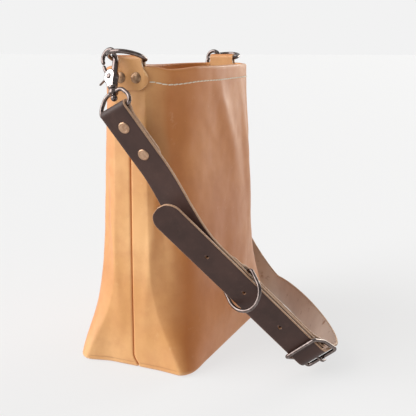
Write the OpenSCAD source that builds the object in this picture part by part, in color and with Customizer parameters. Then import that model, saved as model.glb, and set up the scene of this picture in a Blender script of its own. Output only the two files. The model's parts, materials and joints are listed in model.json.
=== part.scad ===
// Open-top leather sling bag with a clip-on buckle strap.
// Origin: centre of the base on the floor. +X runs along the mouth, the front panel faces -Y, +Z is up.
// The left end is the -X end, and the strap stands in front of the bag with its buckle on the floor.

/* [Bag] */
// Length of the base, along X
bag_length = 245; // [235:1:255]
// Depth of the base, along Y
bag_depth = 132; // [126:1:140]
// Height of the leather shell
bag_height = 312; // [306:1:318]
// Depth lost from base to mouth, as the panels lean in
mouth_taper = 22; // [16:1:28]
// Thickness of the bag leather
leather = 2.2; // [2:0.1:2.4]
// Depth of the hem folded inside the mouth
hem_depth = 22; // [18:1:26]
// Width of the seam allowances inside the bag
seam_allowance = 8; // [6:1:10]

/* [Tabs and rings] */
// Width of a tab where it folds over the ring
tab_top_width = 30; // [26:1:31]
// Width of a tab over the rivets
tab_width = 42; // [38:1:44]
// Length of a tab below the mouth
tab_drop = 23; // [21:1:25]
// Clear width inside a D-ring
ring_inside = 32; // [32:1:34]
// Thickness of the D-ring wire
ring_wire = 4.4; // [4:0.1:4.4]
// Lean of the left ring from upright
left_ring_lean = 70; // [68:1:72]
// Lean of the right ring from upright
right_ring_lean = 78; // [76:1:80]

/* [Snap hooks] */
// Thickness of the snap body
snap_thick = 7; // [6.6:0.1:7.2]
// Width of the clear bow inside the hook
hook_clear = 12; // [11.6:0.1:12.4]
// Thickness of the eye wire that the strap folds over
eye_wire = 4.2; // [4:0.1:4.4]

/* [Strap] */
// Width of the strap
strap_width = 32; // [31:0.5:32]
// Thickness of the strap leather
strap_thick = 3.2; // [3:0.1:3.3]
// Length of the free tail past the buckle
tail_length = 216; // [200:2:220]
// Pitch of the length-adjusting holes
hole_pitch = 52; // [50:1:54]
// Diameter of an adjusting hole
hole_size = 3.6; // [3.2:0.1:4]

/* [Hidden] */

$fn = 48;
tan_leather = [0.80, 0.55, 0.32];
dark_leather = [0.29, 0.21, 0.18];
gunmetal = [0.34, 0.31, 0.29];
old_brass = [0.69, 0.55, 0.42];
cream_thread = [0.90, 0.85, 0.74];
gap = 0.05; // clearance between neighbouring pieces

// Bag shell
wall_steps = 28; // facets round each half of the bag
wall_levels = 8; // rings of facets up the wall
end_flat = 2.7; // depth cut off the rounded ends, which leaves a flat strip for the tab
straight_top = 30; // height below the mouth over which the wall is upright
base_sharpness = 14; // superellipse power at the base, nearly a rectangle
mouth_sharpness = 2.5; // superellipse power at the mouth, nearly an oval
end_taper = 5; // length lost at each end from base to mouth
stitch_drop = 15; // hem stitch line below the mouth
thread = 0.8; // thickness of the sewing thread
mouth_half = bag_length / 2 - end_taper; // from the centre to the flat strip at the mouth

// Tabs and rings
bar_r = ring_wire / 2;
fold_r = (2 * leather + 2 * gap) / 2; // inside of the tab's fold, which spans the doubled hem
tab_bar_x = mouth_half + gap - fold_r; // ring bar, over the middle of the hem
tab_bar_z = bag_height + 6;
ring_half = ring_inside / 2 + bar_r; // centreline of a leg
ring_leg = 6;
tab_rivet_y = 8.7;
tab_rivet_z = bag_height - 11;
rivet_r = 2;
hook_arc = 20; // how far round the ring's bow the snap sits, in degrees

// Snap hooks, in the snap's own frame: eye bar at the origin, post along Z, bar along Y
eye_r = eye_wire / 2;
eye_half = 17 + eye_r; // centreline of an eye leg
eye_leg = 9;
eye_top = 20; // boss level
boss_r = 4.6;
boss_half = 3;
post_r = 2.3;
ball_r = 3.3;
ball_z = 13.2;
pin_z = 36; // pivot of the trigger
pin_r = 1.5;
body_r = 6.3;
bow_y = -0.5;
bow_z = 57.5;
bow_r = hook_clear / 2;
bow_wire = 4;
bow_thick = 4;
cheek_gap = 3.4; // slot for the trigger inside the snap body
trigger_thick = 3;
wire_rest_z = bow_z + bow_r - bar_r - 1.2; // where the ring's wire sits in the bow

// Strap frames: X outward from the grain side, Y across the strap, Z up along the strap
strap_turn = [28, 21, -178]; // short strap at the left eye
snap_kink = -44; // the left snap leans back from the strap to its ring
buckle_turn = [42, 15.5, -168.5]; // strap and tail at the buckle
buckle_pos = [-67, -175.5, 28.5]; // middle of the buckle's centre bar
buckle_bend = 60; // the strap turns this far as it leaves the buckle
fold_end = 48.5; // centre of the turned-back ply's round end, below the eye bar
eye_rivets = [17, 48.5]; // distance of the strap rivets below an eye bar
ply_in = eye_r + gap; // inner face of the outer ply at an eye
ply_mid = ply_in + strap_thick / 2;
head_r = 5.9;
head_rise = 1.4;
cap_r = 5;
cap_rise = 1.6;

// Buckle, in the buckle's own frame: centre bar at the origin
bar_half = 14; // from the centre bar to each outer bar
centre_r = 2;
buckle_in = centre_r + gap;
tail_in = buckle_in + strap_thick + 1.75; // the tail rides over the low rivet heads
tail_out = tail_in + strap_thick;
outer_bar_x = tail_out + 0.45 + centre_r;
rail_in = strap_width / 2 + 0.8;
rail_thick = 3.2;
keeper_z = 108; // keeper bar, up the strap from the buckle
keeper_lean = 40; // angle between the keeper ring and the strap
keeper_half = 19;
keeper_leg = 14;
keeper_r = 2;
fold_rivets = [92, 124]; // rivets on each side of the keeper bar
doubled_end = 124; // centre of the turned-back ply's round end
prong_r = 1.5;
prong_knee = [outer_bar_x + centre_r + prong_r + 0.1, -9.5];
prong_tip = [prong_knee[0], -bar_half - 3];

// ---- Frames ----

function turn_x(p, a) = [p[0], p[1] * cos(a) - p[2] * sin(a), p[1] * sin(a) + p[2] * cos(a)];
function turn_y(p, a) = [p[0] * cos(a) + p[2] * sin(a), p[1], p[2] * cos(a) - p[0] * sin(a)];
function turn_z(p, a) = [p[0] * cos(a) - p[1] * sin(a), p[0] * sin(a) + p[1] * cos(a), p[2]];
function turn(p, a) = turn_z(turn_y(turn_x(p, a[0]), a[1]), a[2]);

// Point on a ring's centreline, at an angle round its bow; side is -1 for the left end
function bow_point(side, lean, angle) = let (
    s = ring_leg + ring_half * sin(angle),
    y = ring_half * cos(angle)
) [side * (tab_bar_x + s * sin(lean)), y, tab_bar_z + s * cos(lean)];

left_hook_point = bow_point(-1, left_ring_lean, hook_arc);
right_hook_point = bow_point(1, right_ring_lean, hook_arc);
wire_in_snap = [0, bow_y, wire_rest_z];
left_eye_pos = left_hook_point - turn(turn_y(wire_in_snap, snap_kink), strap_turn);
right_eye_pos = right_hook_point - wire_in_snap;

module at_left_strap() translate(left_eye_pos) rotate(strap_turn) children();
module at_left_snap() at_left_strap() rotate([0, snap_kink, 0]) children();
module at_right_snap() translate(right_eye_pos) children();
module at_buckle() translate(buckle_pos) rotate(buckle_turn) children();
module at_buckle_foot() at_buckle() rotate([0, buckle_bend, 0]) children();

// ---- Bag shell ----

function rise(z) = min(z, bag_height - straight_top) / bag_height;
function half_length(z) = bag_length / 2 + end_flat - end_taper * rise(z) ^ 2 / rise(bag_height) ^ 2;
function half_depth(z) = bag_depth / 2 - mouth_taper / 2 * rise(z) ^ 1.6 / rise(bag_height) ^ 1.6;
function sharpness(z) = mouth_sharpness
    + (base_sharpness - mouth_sharpness) * (1 - rise(z) / rise(bag_height)) ^ 4;
function wall_point(z, angle, inset) = let (
    power = 2 / sharpness(z),
    across = pow(abs(cos(angle)), power) * (half_length(z) - inset),
    x = min(across, half_length(z) - end_flat - inset),
    y = pow(abs(sin(angle)), power) * (half_depth(z) - inset),
    seam_lean = 0.005 // the cut edge at the seam leans back a hair from its outer corner
) [sign(cos(angle)) * x, -max(y, gap + seam_lean * max(inset, 0))];
function end_x(z) = half_length(z) - end_flat - leather;

function wall_ring(z, inset) = [
    for (i = [0:wall_steps])
        let (p = wall_point(z, 180 * i / wall_steps, inset)) [p[0], p[1], z]
];

// One panel: half the wall, half the base and the folded hem. It fills y < 0.
module half_shell() {
    hem_z = bag_height - hem_depth;
    outer_z = concat(
        [for (k = [0:wall_levels - 1]) (bag_height - straight_top) * k / (wall_levels - 1)],
        [bag_height]
    );
    inner = [
        for (k = [0:wall_levels - 1])
            [leather + (hem_z - leather) * k / (wall_levels - 1), leather],
        [hem_z, 2 * leather],
        [bag_height, 2 * leather]
    ];
    n = wall_steps;
    row = n + 1;
    top = wall_levels;
    inner_top = len(inner) - 1;
    base = (top + 1) * row;
    foot_middle = base + (inner_top + 1) * row;
    floor_middle = foot_middle + 1;
    points = concat(
        [for (z = outer_z) each wall_ring(z, 0)],
        [for (level = inner) each wall_ring(level[0], level[1])],
        [for (z = [0, leather]) [0, -bag_depth / 4, z]]
    );
    outer_faces = [
        for (k = [0:top - 1]) for (i = [0:n - 1]) let (a = k * row + i)
            each [[a + 1, a + row + 1, a + row], [a + 1, a + row, a]]
    ];
    inner_faces = [
        for (k = [0:inner_top - 1]) for (i = [0:n - 1]) let (a = base + k * row + i)
            each [[a + row, a + row + 1, a + 1], [a, a + row, a + 1]]
    ];
    rim_faces = [
        for (i = [0:n - 1]) let (a = top * row + i, b = base + inner_top * row + i)
            each [[a + 1, b + 1, b], [a + 1, b, a]]
    ];
    foot_faces = concat([[foot_middle, 0, n]], [for (i = [0:n - 1]) [foot_middle, i + 1, i]]);
    floor_faces = concat(
        [[floor_middle, base + n, base]],
        [for (i = [0:n - 1]) [floor_middle, base + i, base + i + 1]]
    );
    seam_faces = [for (end = [0, n]) let (
        o = [for (k = [0:top]) k * row + end],
        i = [for (k = [0:inner_top]) base + k * row + end],
        strip = concat(
            [for (k = [0:top - 2]) each [[o[k], o[k + 1], i[k + 1]], [o[k], i[k + 1], i[k]]]],
            [[o[top - 1], o[top], i[top - 1]], [o[top], i[inner_top], i[top - 1]],
             [i[inner_top], i[top], i[top - 1]]]
        )
    ) each end == 0 ? strip : [for (f = strip) [f[2], f[1], f[0]]]];
    base_faces = [[base, base + n, n], [base, n, 0]];
    polyhedron(points, concat(outer_faces, inner_faces, rim_faces, foot_faces, floor_faces, seam_faces,
        base_faces));
}

// Turned-in seam allowance of one panel: down one end, along the base and up the other end.
// It stops just under the hem and stands back from the shell's cut edge by a hair.
module seam_flange() {
    high = bag_height - hem_depth - 1;
    set_back = 0.05;
    levels = [for (k = [0:6]) leather + (high - leather) * k / 6];
    outer_side = [for (z = levels) [end_x(z) + 1, z]];
    inner_side = [for (z = levels) [end_x(z) - seam_allowance, max(z, leather + seam_allowance)]];
    outline = concat(
        [[end_x(0) - 4, leather - 1]],
        outer_side,
        [for (k = [6:-1:0]) inner_side[k]],
        [for (k = [0:6]) [-inner_side[k][0], inner_side[k][1]]],
        [for (k = [6:-1:0]) [-outer_side[k][0], outer_side[k][1]]],
        [[4 - end_x(0), leather - 1]]
    );
    translate([0, -gap - set_back, 0]) rotate([90, 0, 0]) linear_extrude(leather) polygon(outline);
}

module rivet_bores() {
    for (side = [-1, 1]) for (y = [-tab_rivet_y, tab_rivet_y])
        translate([side * mouth_half, y, tab_rivet_z])
            rotate([0, 90, 0]) cylinder(r = rivet_r + gap, h = 30, center = true);
}

module panel() {
    difference() {
        union() {
            half_shell();
            seam_flange();
        }
        rivet_bores();
    }
}

module front_panel() {
    color(tan_leather) panel();
}

module back_panel() {
    color(tan_leather) mirror([0, 1, 0]) panel();
}

// Thread that runs along the wall at one inset, between the tabs
module hem_run(inset) {
    first = 4; // facets of the wall left clear at each end
    z = bag_height - stitch_drop;
    near = [for (i = [first:wall_steps - first]) wall_point(z, 180 * i / wall_steps, inset)];
    far = [for (i = [wall_steps - first:-1:first]) wall_point(z, 180 * i / wall_steps, inset + thread)];
    translate([0, 0, z - thread / 2]) linear_extrude(thread) polygon(concat(near, far));
}

module hem_thread() {
    color(cream_thread) for (side = [0, 1]) mirror([0, side, 0]) {
        hem_run(-thread - gap);
        hem_run(2 * leather + gap);
    }
}

module side_seam_thread() {
    low = leather + 2 * seam_allowance;
    high = bag_height - hem_depth - 2;
    levels = [for (k = [0:6]) low + (high - low) * k / 6];
    middle = seam_allowance / 2;
    outline = concat(
        [for (z = levels) [end_x(z) - middle - thread / 2, z]],
        [for (k = [6:-1:0]) [end_x(levels[k]) - middle + thread / 2, levels[k]]]
    );
    color(cream_thread) for (flip = [0, 1]) mirror([0, flip, 0]) for (side = [0, 1]) mirror([side, 0, 0])
        translate([0, -leather - 3 * gap, 0]) rotate([90, 0, 0]) linear_extrude(thread) polygon(outline);
}

module base_seam_thread() {
    run = bag_length - 30;
    color(cream_thread) for (flip = [0, 1]) mirror([0, flip, 0])
        translate([-run / 2, -leather - 3 * gap - thread, leather + seam_allowance / 2])
            cube([run, thread, thread]);
}

// ---- Tabs and D-rings ----

module tab_outline() {
    corner = 9;
    shoulder = bag_height - tab_drop + corner;
    low = bag_height - tab_drop;
    polygon([
        [-tab_width / 2, shoulder], [-tab_width / 2, bag_height - 10], [-tab_top_width / 2, bag_height + 2],
        [-tab_top_width / 2, tab_bar_z], [tab_top_width / 2, tab_bar_z], [tab_top_width / 2, bag_height + 2],
        [tab_width / 2, bag_height - 10], [tab_width / 2, shoulder]
    ]);
    for (side = [-1, 1]) translate([side * (tab_width / 2 - corner), shoulder]) circle(corner);
    translate([corner - tab_width / 2, low]) square([tab_width - 2 * corner, corner + 0.5]);
}

// A leg of the tab: the stretch of wall offset that lies inside the tab's outline
module tab_leg(inset) {
    z = bag_height;
    steps = 5; // as many of the wall's facets as the tab covers
    angles = [for (k = [0:steps]) 180 * k / wall_steps];
    near = [for (a = angles) wall_point(z, a, inset)];
    far = [for (a = angles) wall_point(z, a, inset + leather)];
    half = concat([for (p = near) [p[0], -p[1]]], [for (k = [steps:-1:0]) [far[k][0], -far[k][1]]]);
    intersection() {
        translate([0, 0, bag_height - tab_drop - 1]) linear_extrude(tab_drop + 12) union() {
            polygon(half);
            mirror([0, 1]) polygon(half);
            translate([near[0][0] - leather, -1]) square([leather, 2]);
        }
        rotate([90, 0, 90]) linear_extrude(bag_length) tab_outline();
    }
}

module tab() {
    difference() {
        union() {
            tab_leg(-leather - gap);
            tab_leg(2 * leather + gap);
            translate([tab_bar_x, 0, tab_bar_z]) rotate([90, 0, 0]) difference() {
                cylinder(r = fold_r + leather, h = tab_top_width, center = true);
                cylinder(r = fold_r, h = 2 * tab_top_width, center = true);
                translate([-20, -40.5, -20]) cube(40);
            }
        }
        rivet_bores();
    }
}

module left_tab() {
    color(tan_leather) mirror([1, 0, 0]) tab();
}

module right_tab() {
    color(tan_leather) tab();
}

// Low domed head, flat side on z = 0
module dome(r, rise_by) {
    sphere_r = (r * r + rise_by * rise_by) / (2 * rise_by);
    intersection() {
        translate([0, 0, rise_by - sphere_r]) sphere(sphere_r, $fn = 120);
        translate([-r, -r, 0]) cube(2 * r);
    }
}

// Rivet along +Z: head above z = 0, shank of length grip below it
module rivet(grip) {
    dome(head_r, head_rise);
    translate([0, 0, -grip]) cylinder(r = rivet_r, h = grip + 0.5);
}

// Cap that closes over the shank's end, flat side on z = 0, narrowing below
module rivet_cap(shank) {
    difference() {
        translate([0, 0, -cap_rise]) cylinder(r1 = cap_r - 1, r2 = cap_r, h = cap_rise);
        translate([0, 0, -shank]) cylinder(r = rivet_r + 0.02, h = 2 * shank);
    }
}

shank_end = 0.8; // length of shank that stands into a cap
tab_outside = mouth_half + leather + gap;
tab_grip = 4 * leather + 2 * gap;

module at_tab_rivets() {
    for (side = [0, 1]) mirror([side, 0, 0]) for (y = [-tab_rivet_y, tab_rivet_y])
        translate([tab_outside, y, tab_rivet_z]) rotate([0, 90, 0]) children();
}

module tab_rivets() {
    color(old_brass) at_tab_rivets() translate([0, 0, 0.02]) rivet(tab_grip + shank_end);
}

module tab_rivet_caps() {
    color(old_brass) at_tab_rivets() translate([0, 0, -tab_grip - 0.02]) rivet_cap(shank_end + gap);
}

// Wire ring in the YZ plane: straight bar on the Y axis, legs and bow above it
module d_ring(half, leg, r) {
    corner = 3.5;
    rotate([90, 0, 0]) cylinder(r = r, h = 2 * (half - corner), center = true);
    for (side = [-1, 1]) {
        translate([0, side * half, corner]) cylinder(r = r, h = leg - corner);
        translate([0, side * (half - corner), corner]) rotate([side > 0 ? 0 : -90, 0, 0])
            rotate([0, 90, 0]) rotate_extrude(angle = 90) translate([corner, 0]) circle(r);
    }
    translate([0, 0, leg]) rotate([0, -90, 0]) rotate([0, 0, -90])
        rotate_extrude(angle = 180) translate([half, 0]) circle(r);
}

module left_d_ring() {
    color(gunmetal) translate([-tab_bar_x, 0, tab_bar_z]) rotate([0, -left_ring_lean, 0])
        d_ring(ring_half, ring_leg, bar_r);
}

module right_d_ring() {
    color(gunmetal) translate([tab_bar_x, 0, tab_bar_z]) rotate([0, right_ring_lean, 0])
        d_ring(ring_half, ring_leg, bar_r);
}

// ---- Snap hooks ----

module side_plate(thick) {
    rotate([90, 0, 90]) translate([0, 0, -thick / 2]) linear_extrude(thick) children();
}

module snap_hook() {
    nose_z = 53.5;
    difference() {
        union() {
            side_plate(snap_thick) {
                translate([0, pin_z]) circle(body_r);
                polygon([[-5.9, pin_z - 2.2], [5.9, pin_z - 2.2], [4, 24.2], [-4, 24.2]]);
            }
            side_plate(bow_thick) {
                difference() {
                    translate([bow_y, bow_z]) circle(bow_r + bow_wire);
                    translate([bow_y, bow_z]) circle(bow_r);
                    translate([bow_y - 20, nose_z - 20]) square([20, 20]);
                    translate([bow_y, bow_z - 20]) square([20, 20]);
                }
                polygon([
                    [bow_y + bow_r, bow_z + 0.4], [bow_y + bow_r + bow_wire, bow_z + 0.4],
                    [8.6, 48], [6.2, 37], [1.5, 38], [4.4, 46], [5.2, 51]
                ]);
            }
            translate([0, 0, eye_top + boss_half + gap]) cylinder(r = 4.4, h = 3);
        }
        translate([-cheek_gap / 2, -8, 29]) cube([cheek_gap, 11.6, 15]);
        translate([0, 0, pin_z]) rotate([0, 90, 0]) cylinder(r = pin_r + gap, h = 20, center = true);
    }
    translate([0, 0, ball_z]) cylinder(r = post_r, h = eye_top + 5 - ball_z);
    translate([0, 0, ball_z]) sphere(ball_r);
}

module snap_trigger() {
    difference() {
        union() {
            translate([0, 0, pin_z]) rotate([0, 90, 0]) cylinder(r = 3.2, h = trigger_thick, center = true);
            side_plate(trigger_thick) polygon([
                [0, 33.5], [-7, 35.6], [-15.6, 34.4], [-16.2, 36.2], [-6.9, 39.1],
                [-9.2, 47], [-9.6, 51.2], [-6.2, 52.4], [-1.9, 41], [0, 38.5]
            ]);
        }
        translate([0, 0, pin_z]) rotate([0, 90, 0]) cylinder(r = pin_r + gap, h = 20, center = true);
    }
}

module snap_pin() {
    translate([0, 0, pin_z]) rotate([0, 90, 0]) {
        cylinder(r = pin_r, h = snap_thick + 1, center = true);
        for (side = [0, 1]) mirror([0, 0, side]) translate([0, 0, snap_thick / 2 + 0.02]) dome(3.2, 0.9);
    }
}

// Leaf spring bent behind the trigger, in the body's slot
module snap_spring() {
    side_plate(2.4) polygon([[-4.2, 29.6], [3.2, 29.6], [3.2, 32.6], [2.7, 32.6], [2.7, 30.1], [-4.2, 30.1]]);
}

// Wire eye with a boss that the hook's post turns in
module snap_eye() {
    rod = [[-eye_half, 0], [eye_half, 0], [eye_half, eye_leg], [9, eye_top], [3, eye_top]];
    difference() {
        union() {
            for (flip = [0, 1]) mirror([0, flip, 0]) for (k = [0:3]) wire_piece(rod[k], rod[k + 1]);
            translate([0, 0, eye_top - boss_half]) cylinder(r = boss_r, h = 2 * boss_half);
        }
        cylinder(r = post_r + gap, h = 60);
    }
}

// Straight wire between two points of the YZ plane, with a ball at its far end
module wire_piece(a, b) {
    length = norm(b - a);
    angle = atan2(b[1] - a[1], b[0] - a[0]);
    translate([0, a[0], a[1]]) rotate([angle - 90, 0, 0]) {
        cylinder(r = eye_r, h = length);
        translate([0, 0, length]) sphere(eye_r + 0.01);
    }
}

module left_snap_hook() {
    color(gunmetal) at_left_snap() snap_hook();
}

module left_snap_trigger() {
    color(gunmetal) at_left_snap() snap_trigger();
}

module left_snap_pin() {
    color(gunmetal) at_left_snap() snap_pin();
}

module left_snap_spring() {
    color("silver") at_left_snap() snap_spring();
}

module left_snap_eye() {
    color(gunmetal) at_left_snap() snap_eye();
}

module right_snap_hook() {
    color(gunmetal) at_right_snap() snap_hook();
}

module right_snap_trigger() {
    color(gunmetal) at_right_snap() snap_trigger();
}

module right_snap_pin() {
    color(gunmetal) at_right_snap() snap_pin();
}

module right_snap_spring() {
    color("silver") at_right_snap() snap_spring();
}

module right_snap_eye() {
    color(gunmetal) at_right_snap() snap_eye();
}

// ---- Strap ----

// Strap drawn as a side profile in X and Z, made as wide as the strap
module strap_profile() {
    rotate([90, 0, 0]) translate([0, 0, -strap_width / 2]) linear_extrude(strap_width) children();
}

// Flat ply with a round end, between two heights; its inner face is at x
module ply(x, from_z, to_z, round_z) {
    translate([x, -strap_width / 2, from_z]) cube([strap_thick, strap_width, to_z - from_z]);
    translate([x, 0, round_z]) rotate([0, 90, 0]) cylinder(r = strap_width / 2, h = strap_thick);
}

// Strap end folded over an eye bar at the origin; the strap leaves downward
module eye_end() {
    pinch = 11.5;
    bulge = ply_in + 0.2; // the inner ply clears the bar before it turns in
    back = ply_in - gap - strap_thick; // inner ply's face, flat against the outer ply
    difference() {
        union() {
            strap_profile() {
                difference() {
                    circle(ply_in + strap_thick);
                    circle(ply_in);
                    translate([-20, -40.1]) square(40);
                }
                translate([ply_in, -fold_end - 14]) square([strap_thick, fold_end + 14]);
                polygon([
                    [-ply_in - strap_thick, 0], [-ply_in, 0], [-ply_in, -bulge],
                    [back + strap_thick, -pinch], [back, -pinch], [-ply_in - strap_thick, -bulge]
                ]);
            }
            ply(back, -fold_end, 0.01 - pinch, -fold_end);
        }
        for (z = eye_rivets) strap_bore(-z);
    }
}

module strap_bore(z) {
    translate([0, 0, z]) rotate([0, 90, 0]) cylinder(r = rivet_r + gap, h = 40, center = true);
}

// Doubled end of the short strap: fold over the buckle's centre bar, with the keeper bar between plies
module buckle_end() {
    pinch = 15;
    keeper_pinch = 10.5;
    bulge = buckle_in + 0.2;
    back = buckle_in - gap - strap_thick;
    difference() {
        union() {
            strap_profile() {
                difference() {
                    circle(buckle_in + strap_thick);
                    circle(buckle_in);
                    translate([-20, 0.1]) square(40);
                }
                translate([buckle_in, 0]) square([strap_thick, doubled_end + 20]);
                polygon([
                    [-buckle_in - strap_thick, 0], [-buckle_in, 0], [-buckle_in, bulge],
                    [back + strap_thick, pinch], [back + strap_thick, keeper_z - keeper_pinch],
                    [-buckle_in, keeper_z - 3], [-buckle_in, keeper_z + 3],
                    [back + strap_thick, keeper_z + keeper_pinch], [back + strap_thick, doubled_end + 0.5],
                    [back, doubled_end + 0.5], [back, keeper_z + keeper_pinch],
                    [-buckle_in - strap_thick, keeper_z + 3], [-buckle_in - strap_thick, keeper_z - 3],
                    [back, keeper_z - keeper_pinch], [back, pinch], [-buckle_in - strap_thick, bulge]
                ]);
            }
            translate([back, 0, doubled_end]) difference() {
                rotate([0, 90, 0]) cylinder(r = strap_width / 2, h = strap_thick);
                translate([-10, -20, -40]) cube(40);
            }
        }
        for (z = fold_rivets) strap_bore(z);
        translate([-9, -2.4, -9]) cube([18, 4.8, 22]);
    }
}

// Thin ribbon along a Bezier curve; the width direction turns from one end to the other
function bezier(c, t) = (1 - t) ^ 3 * c[0] + 3 * t * (1 - t) ^ 2 * c[1] + 3 * t ^ 2 * (1 - t) * c[2] + t ^ 3 * c[3];
function heading(c, t) = let (
    v = (1 - t) ^ 2 * (c[1] - c[0]) + 2 * t * (1 - t) * (c[2] - c[1]) + t ^ 2 * (c[3] - c[2])
) v / norm(v);
function square_to(w, d) = let (v = w - (w * d) * d) v / norm(v);

module ribbon(c, w0, w1, steps) {
    half_w = strap_width / 2 - 0.05;
    half_t = strap_thick / 2 - 0.05;
    points = [
        for (k = [0:steps]) let (
            t = k / steps,
            ease = t * t * (3 - 2 * t),
            p = bezier(c, t),
            d = heading(c, t),
            w = square_to(w0 + (w1 - w0) * ease, d),
            n = cross(w, d)
        ) each [p - half_w * w - half_t * n, p + half_w * w - half_t * n,
                p + half_w * w + half_t * n, p - half_w * w + half_t * n]
    ];
    sides = [
        for (k = [0:steps - 1]) for (j = [0:3]) let (a = 4 * k + j, b = 4 * k + (j + 1) % 4)
            each [[a, b, b + 4], [a, b + 4, a + 4]]
    ];
    last = 4 * steps;
    polyhedron(points, concat([[3, 2, 1, 0], [last, last + 1, last + 2, last + 3]], sides));
}

// Control points of a ribbon from one frame to another, each tucked 1 mm into its neighbour
function ribbon_curve(p0, d0, pull0, p1, d1, pull1) = [p0 - d0, p0 + pull0 * d0, p1 - pull1 * d1, p1 + d1];

module short_strap() {
    from = left_eye_pos + turn([ply_mid, 0, -fold_end - 14], strap_turn);
    to = buckle_pos + turn([buckle_in + strap_thick / 2, 0, doubled_end + 20], buckle_turn);
    d0 = turn([0, 0, -1], strap_turn);
    d1 = turn([0, 0, -1], buckle_turn);
    color(dark_leather) {
        at_left_strap() eye_end();
        at_buckle() buckle_end();
        ribbon(ribbon_curve(from, d0, 35, to, d1, 35), turn([0, 1, 0], strap_turn),
            turn([0, 1, 0], buckle_turn), 16);
    }
}

tail_mid = (tail_in + tail_out) / 2;
first_hole = 8; // how far the nearest adjusting hole falls short of one pitch from the bar
foot_run = 26; // straight strap past the centre bar, on the far side of the buckle

// One side of the tail's profile, down from the tip, round the buckle's bend and along the foot
function tail_side(r) = let (steps = 10, end = [cos(buckle_bend), -sin(buckle_bend)]) concat(
    [[r, tail_length - strap_width / 2 - 2]],
    [for (k = [0:steps]) let (a = -buckle_bend * k / steps) r * [cos(a), sin(a)]],
    [r * end + foot_run * [end[1], -end[0]]]
);

module tail() {
    inner = tail_side(tail_in);
    outer = tail_side(tail_out);
    difference() {
        union() {
            strap_profile() polygon(concat(outer, [for (k = [len(inner) - 1:-1:0]) inner[k]]));
            translate([tail_in, 0, 0]) rotate([0, 90, 0]) linear_extrude(strap_thick) intersection() {
                translate([-tail_length + strap_width / 2 + 1, 0]) circle(strap_width / 2 + 1, $fn = 64);
                translate([-tail_length - 5, -strap_width / 2]) square([40, strap_width]);
            }
        }
        for (k = [1:3]) translate([0, 0, k * hole_pitch - first_hole]) rotate([0, 90, 0])
            cylinder(d = hole_size, h = 40);
        rotate([0, buckle_bend, 0]) translate([0, -hole_size / 2 - 0.3, -12])
            cube([40, hole_size + 0.6, 12]);
    }
}

module long_strap() {
    foot_turn_y = turn_y([tail_mid, 0, -foot_run], buckle_bend);
    from = buckle_pos + turn(foot_turn_y, buckle_turn);
    d0 = turn(turn_y([0, 0, -1], buckle_bend), buckle_turn);
    corner = [134, -74, strap_width / 2 + 1.2];
    corner_way = [0.62, 0.78, 0.02];
    to = right_eye_pos + [ply_mid, 0, -fold_end - 14];
    color(dark_leather) {
        at_buckle() tail();
        ribbon([from - d0, from + 34 * d0, corner - 80 * corner_way, corner],
            turn([0, 1, 0], buckle_turn), [0.05, -0.1, 1], 30);
        ribbon([corner - corner_way, corner + 55 * corner_way, to + [2, -4, -90], to + [0, 0, 1]],
            [0.05, -0.1, 1], [0, -1, 0], 30);
        at_right_snap() eye_end();
    }
}

module at_strap_rivets() {
    outer = ply_in + strap_thick;
    for (z = eye_rivets) {
        at_left_strap() translate([outer, 0, -z]) rotate([0, 90, 0]) children();
        at_right_snap() translate([outer, 0, -z]) rotate([0, 90, 0]) children();
    }
    for (z = fold_rivets)
        at_buckle() translate([buckle_in + strap_thick, 0, z]) rotate([0, 90, 0]) children();
}

strap_grip = 2 * strap_thick + gap;

module strap_rivets() {
    color(old_brass) at_strap_rivets() translate([0, 0, 0.02]) rivet(strap_grip + shank_end);
}

module strap_rivet_caps() {
    color(old_brass) at_strap_rivets() translate([0, 0, -strap_grip - 0.02]) rivet_cap(shank_end + gap);
}

// ---- Buckle and keeper ----

// Bar across the buckle; ends stand into the rails
module cross_bar(x, z) {
    translate([x, 0, z]) rotate([90, 0, 0])
        cylinder(r = centre_r, h = 2 * rail_in + 1, center = true);
}

module rail_disc() {
    rotate([90, 0, 0]) cylinder(r = centre_r + 0.6, h = rail_thick, center = true, $fn = 32);
}

module buckle_frame() {
    foot = turn_y([outer_bar_x, 0, -bar_half], buckle_bend);
    color(gunmetal) at_buckle() {
        cross_bar(0, 0);
        cross_bar(outer_bar_x, bar_half);
        cross_bar(foot[0], foot[2]);
        for (side = [-1, 1]) translate([0, side * (rail_in + rail_thick / 2), 0]) {
            hull() {
                rail_disc();
                translate([outer_bar_x, 0, bar_half]) rail_disc();
            }
            hull() {
                rail_disc();
                translate(foot) rail_disc();
            }
        }
    }
}

// One straight stretch of the prong between two points in X and Z, with a ball at its far end
module prong_piece(a, b) {
    run = b - a;
    translate([a[0], 0, a[1]]) rotate([0, atan2(run[0], run[1]), 0]) {
        cylinder(r = prong_r, h = norm(run));
        translate([0, 0, norm(run)]) sphere(prong_r + 0.01);
    }
}

// Prong: a loop on the centre bar and a finger that bends down over the lower outer bar
module buckle_prong() {
    color(gunmetal) at_buckle_foot() difference() {
        union() {
            rotate([90, 0, 0]) cylinder(r = centre_r + 1.6, h = 4, center = true);
            prong_piece([3, -1], prong_knee);
            prong_piece(prong_knee, prong_tip);
        }
        rotate([90, 0, 0]) cylinder(r = centre_r + gap, h = 10, center = true);
    }
}

module keeper_ring() {
    color(gunmetal) at_buckle() translate([0, 0, keeper_z]) rotate([0, 180 - keeper_lean, 0])
        d_ring(keeper_half, keeper_leg, keeper_r);
}

front_panel();
back_panel();
hem_thread();
side_seam_thread();
base_seam_thread();
left_tab();
right_tab();
tab_rivets();
tab_rivet_caps();
left_d_ring();
right_d_ring();
left_snap_hook();
left_snap_trigger();
left_snap_pin();
left_snap_spring();
left_snap_eye();
right_snap_hook();
right_snap_trigger();
right_snap_pin();
right_snap_spring();
right_snap_eye();
short_strap();
long_strap();
strap_rivets();
strap_rivet_caps();
buckle_frame();
buckle_prong();
keeper_ring();
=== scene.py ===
"""Looks of an open-top leather sling bag with a clip-on buckle strap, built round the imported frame."""

import json
import math

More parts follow.
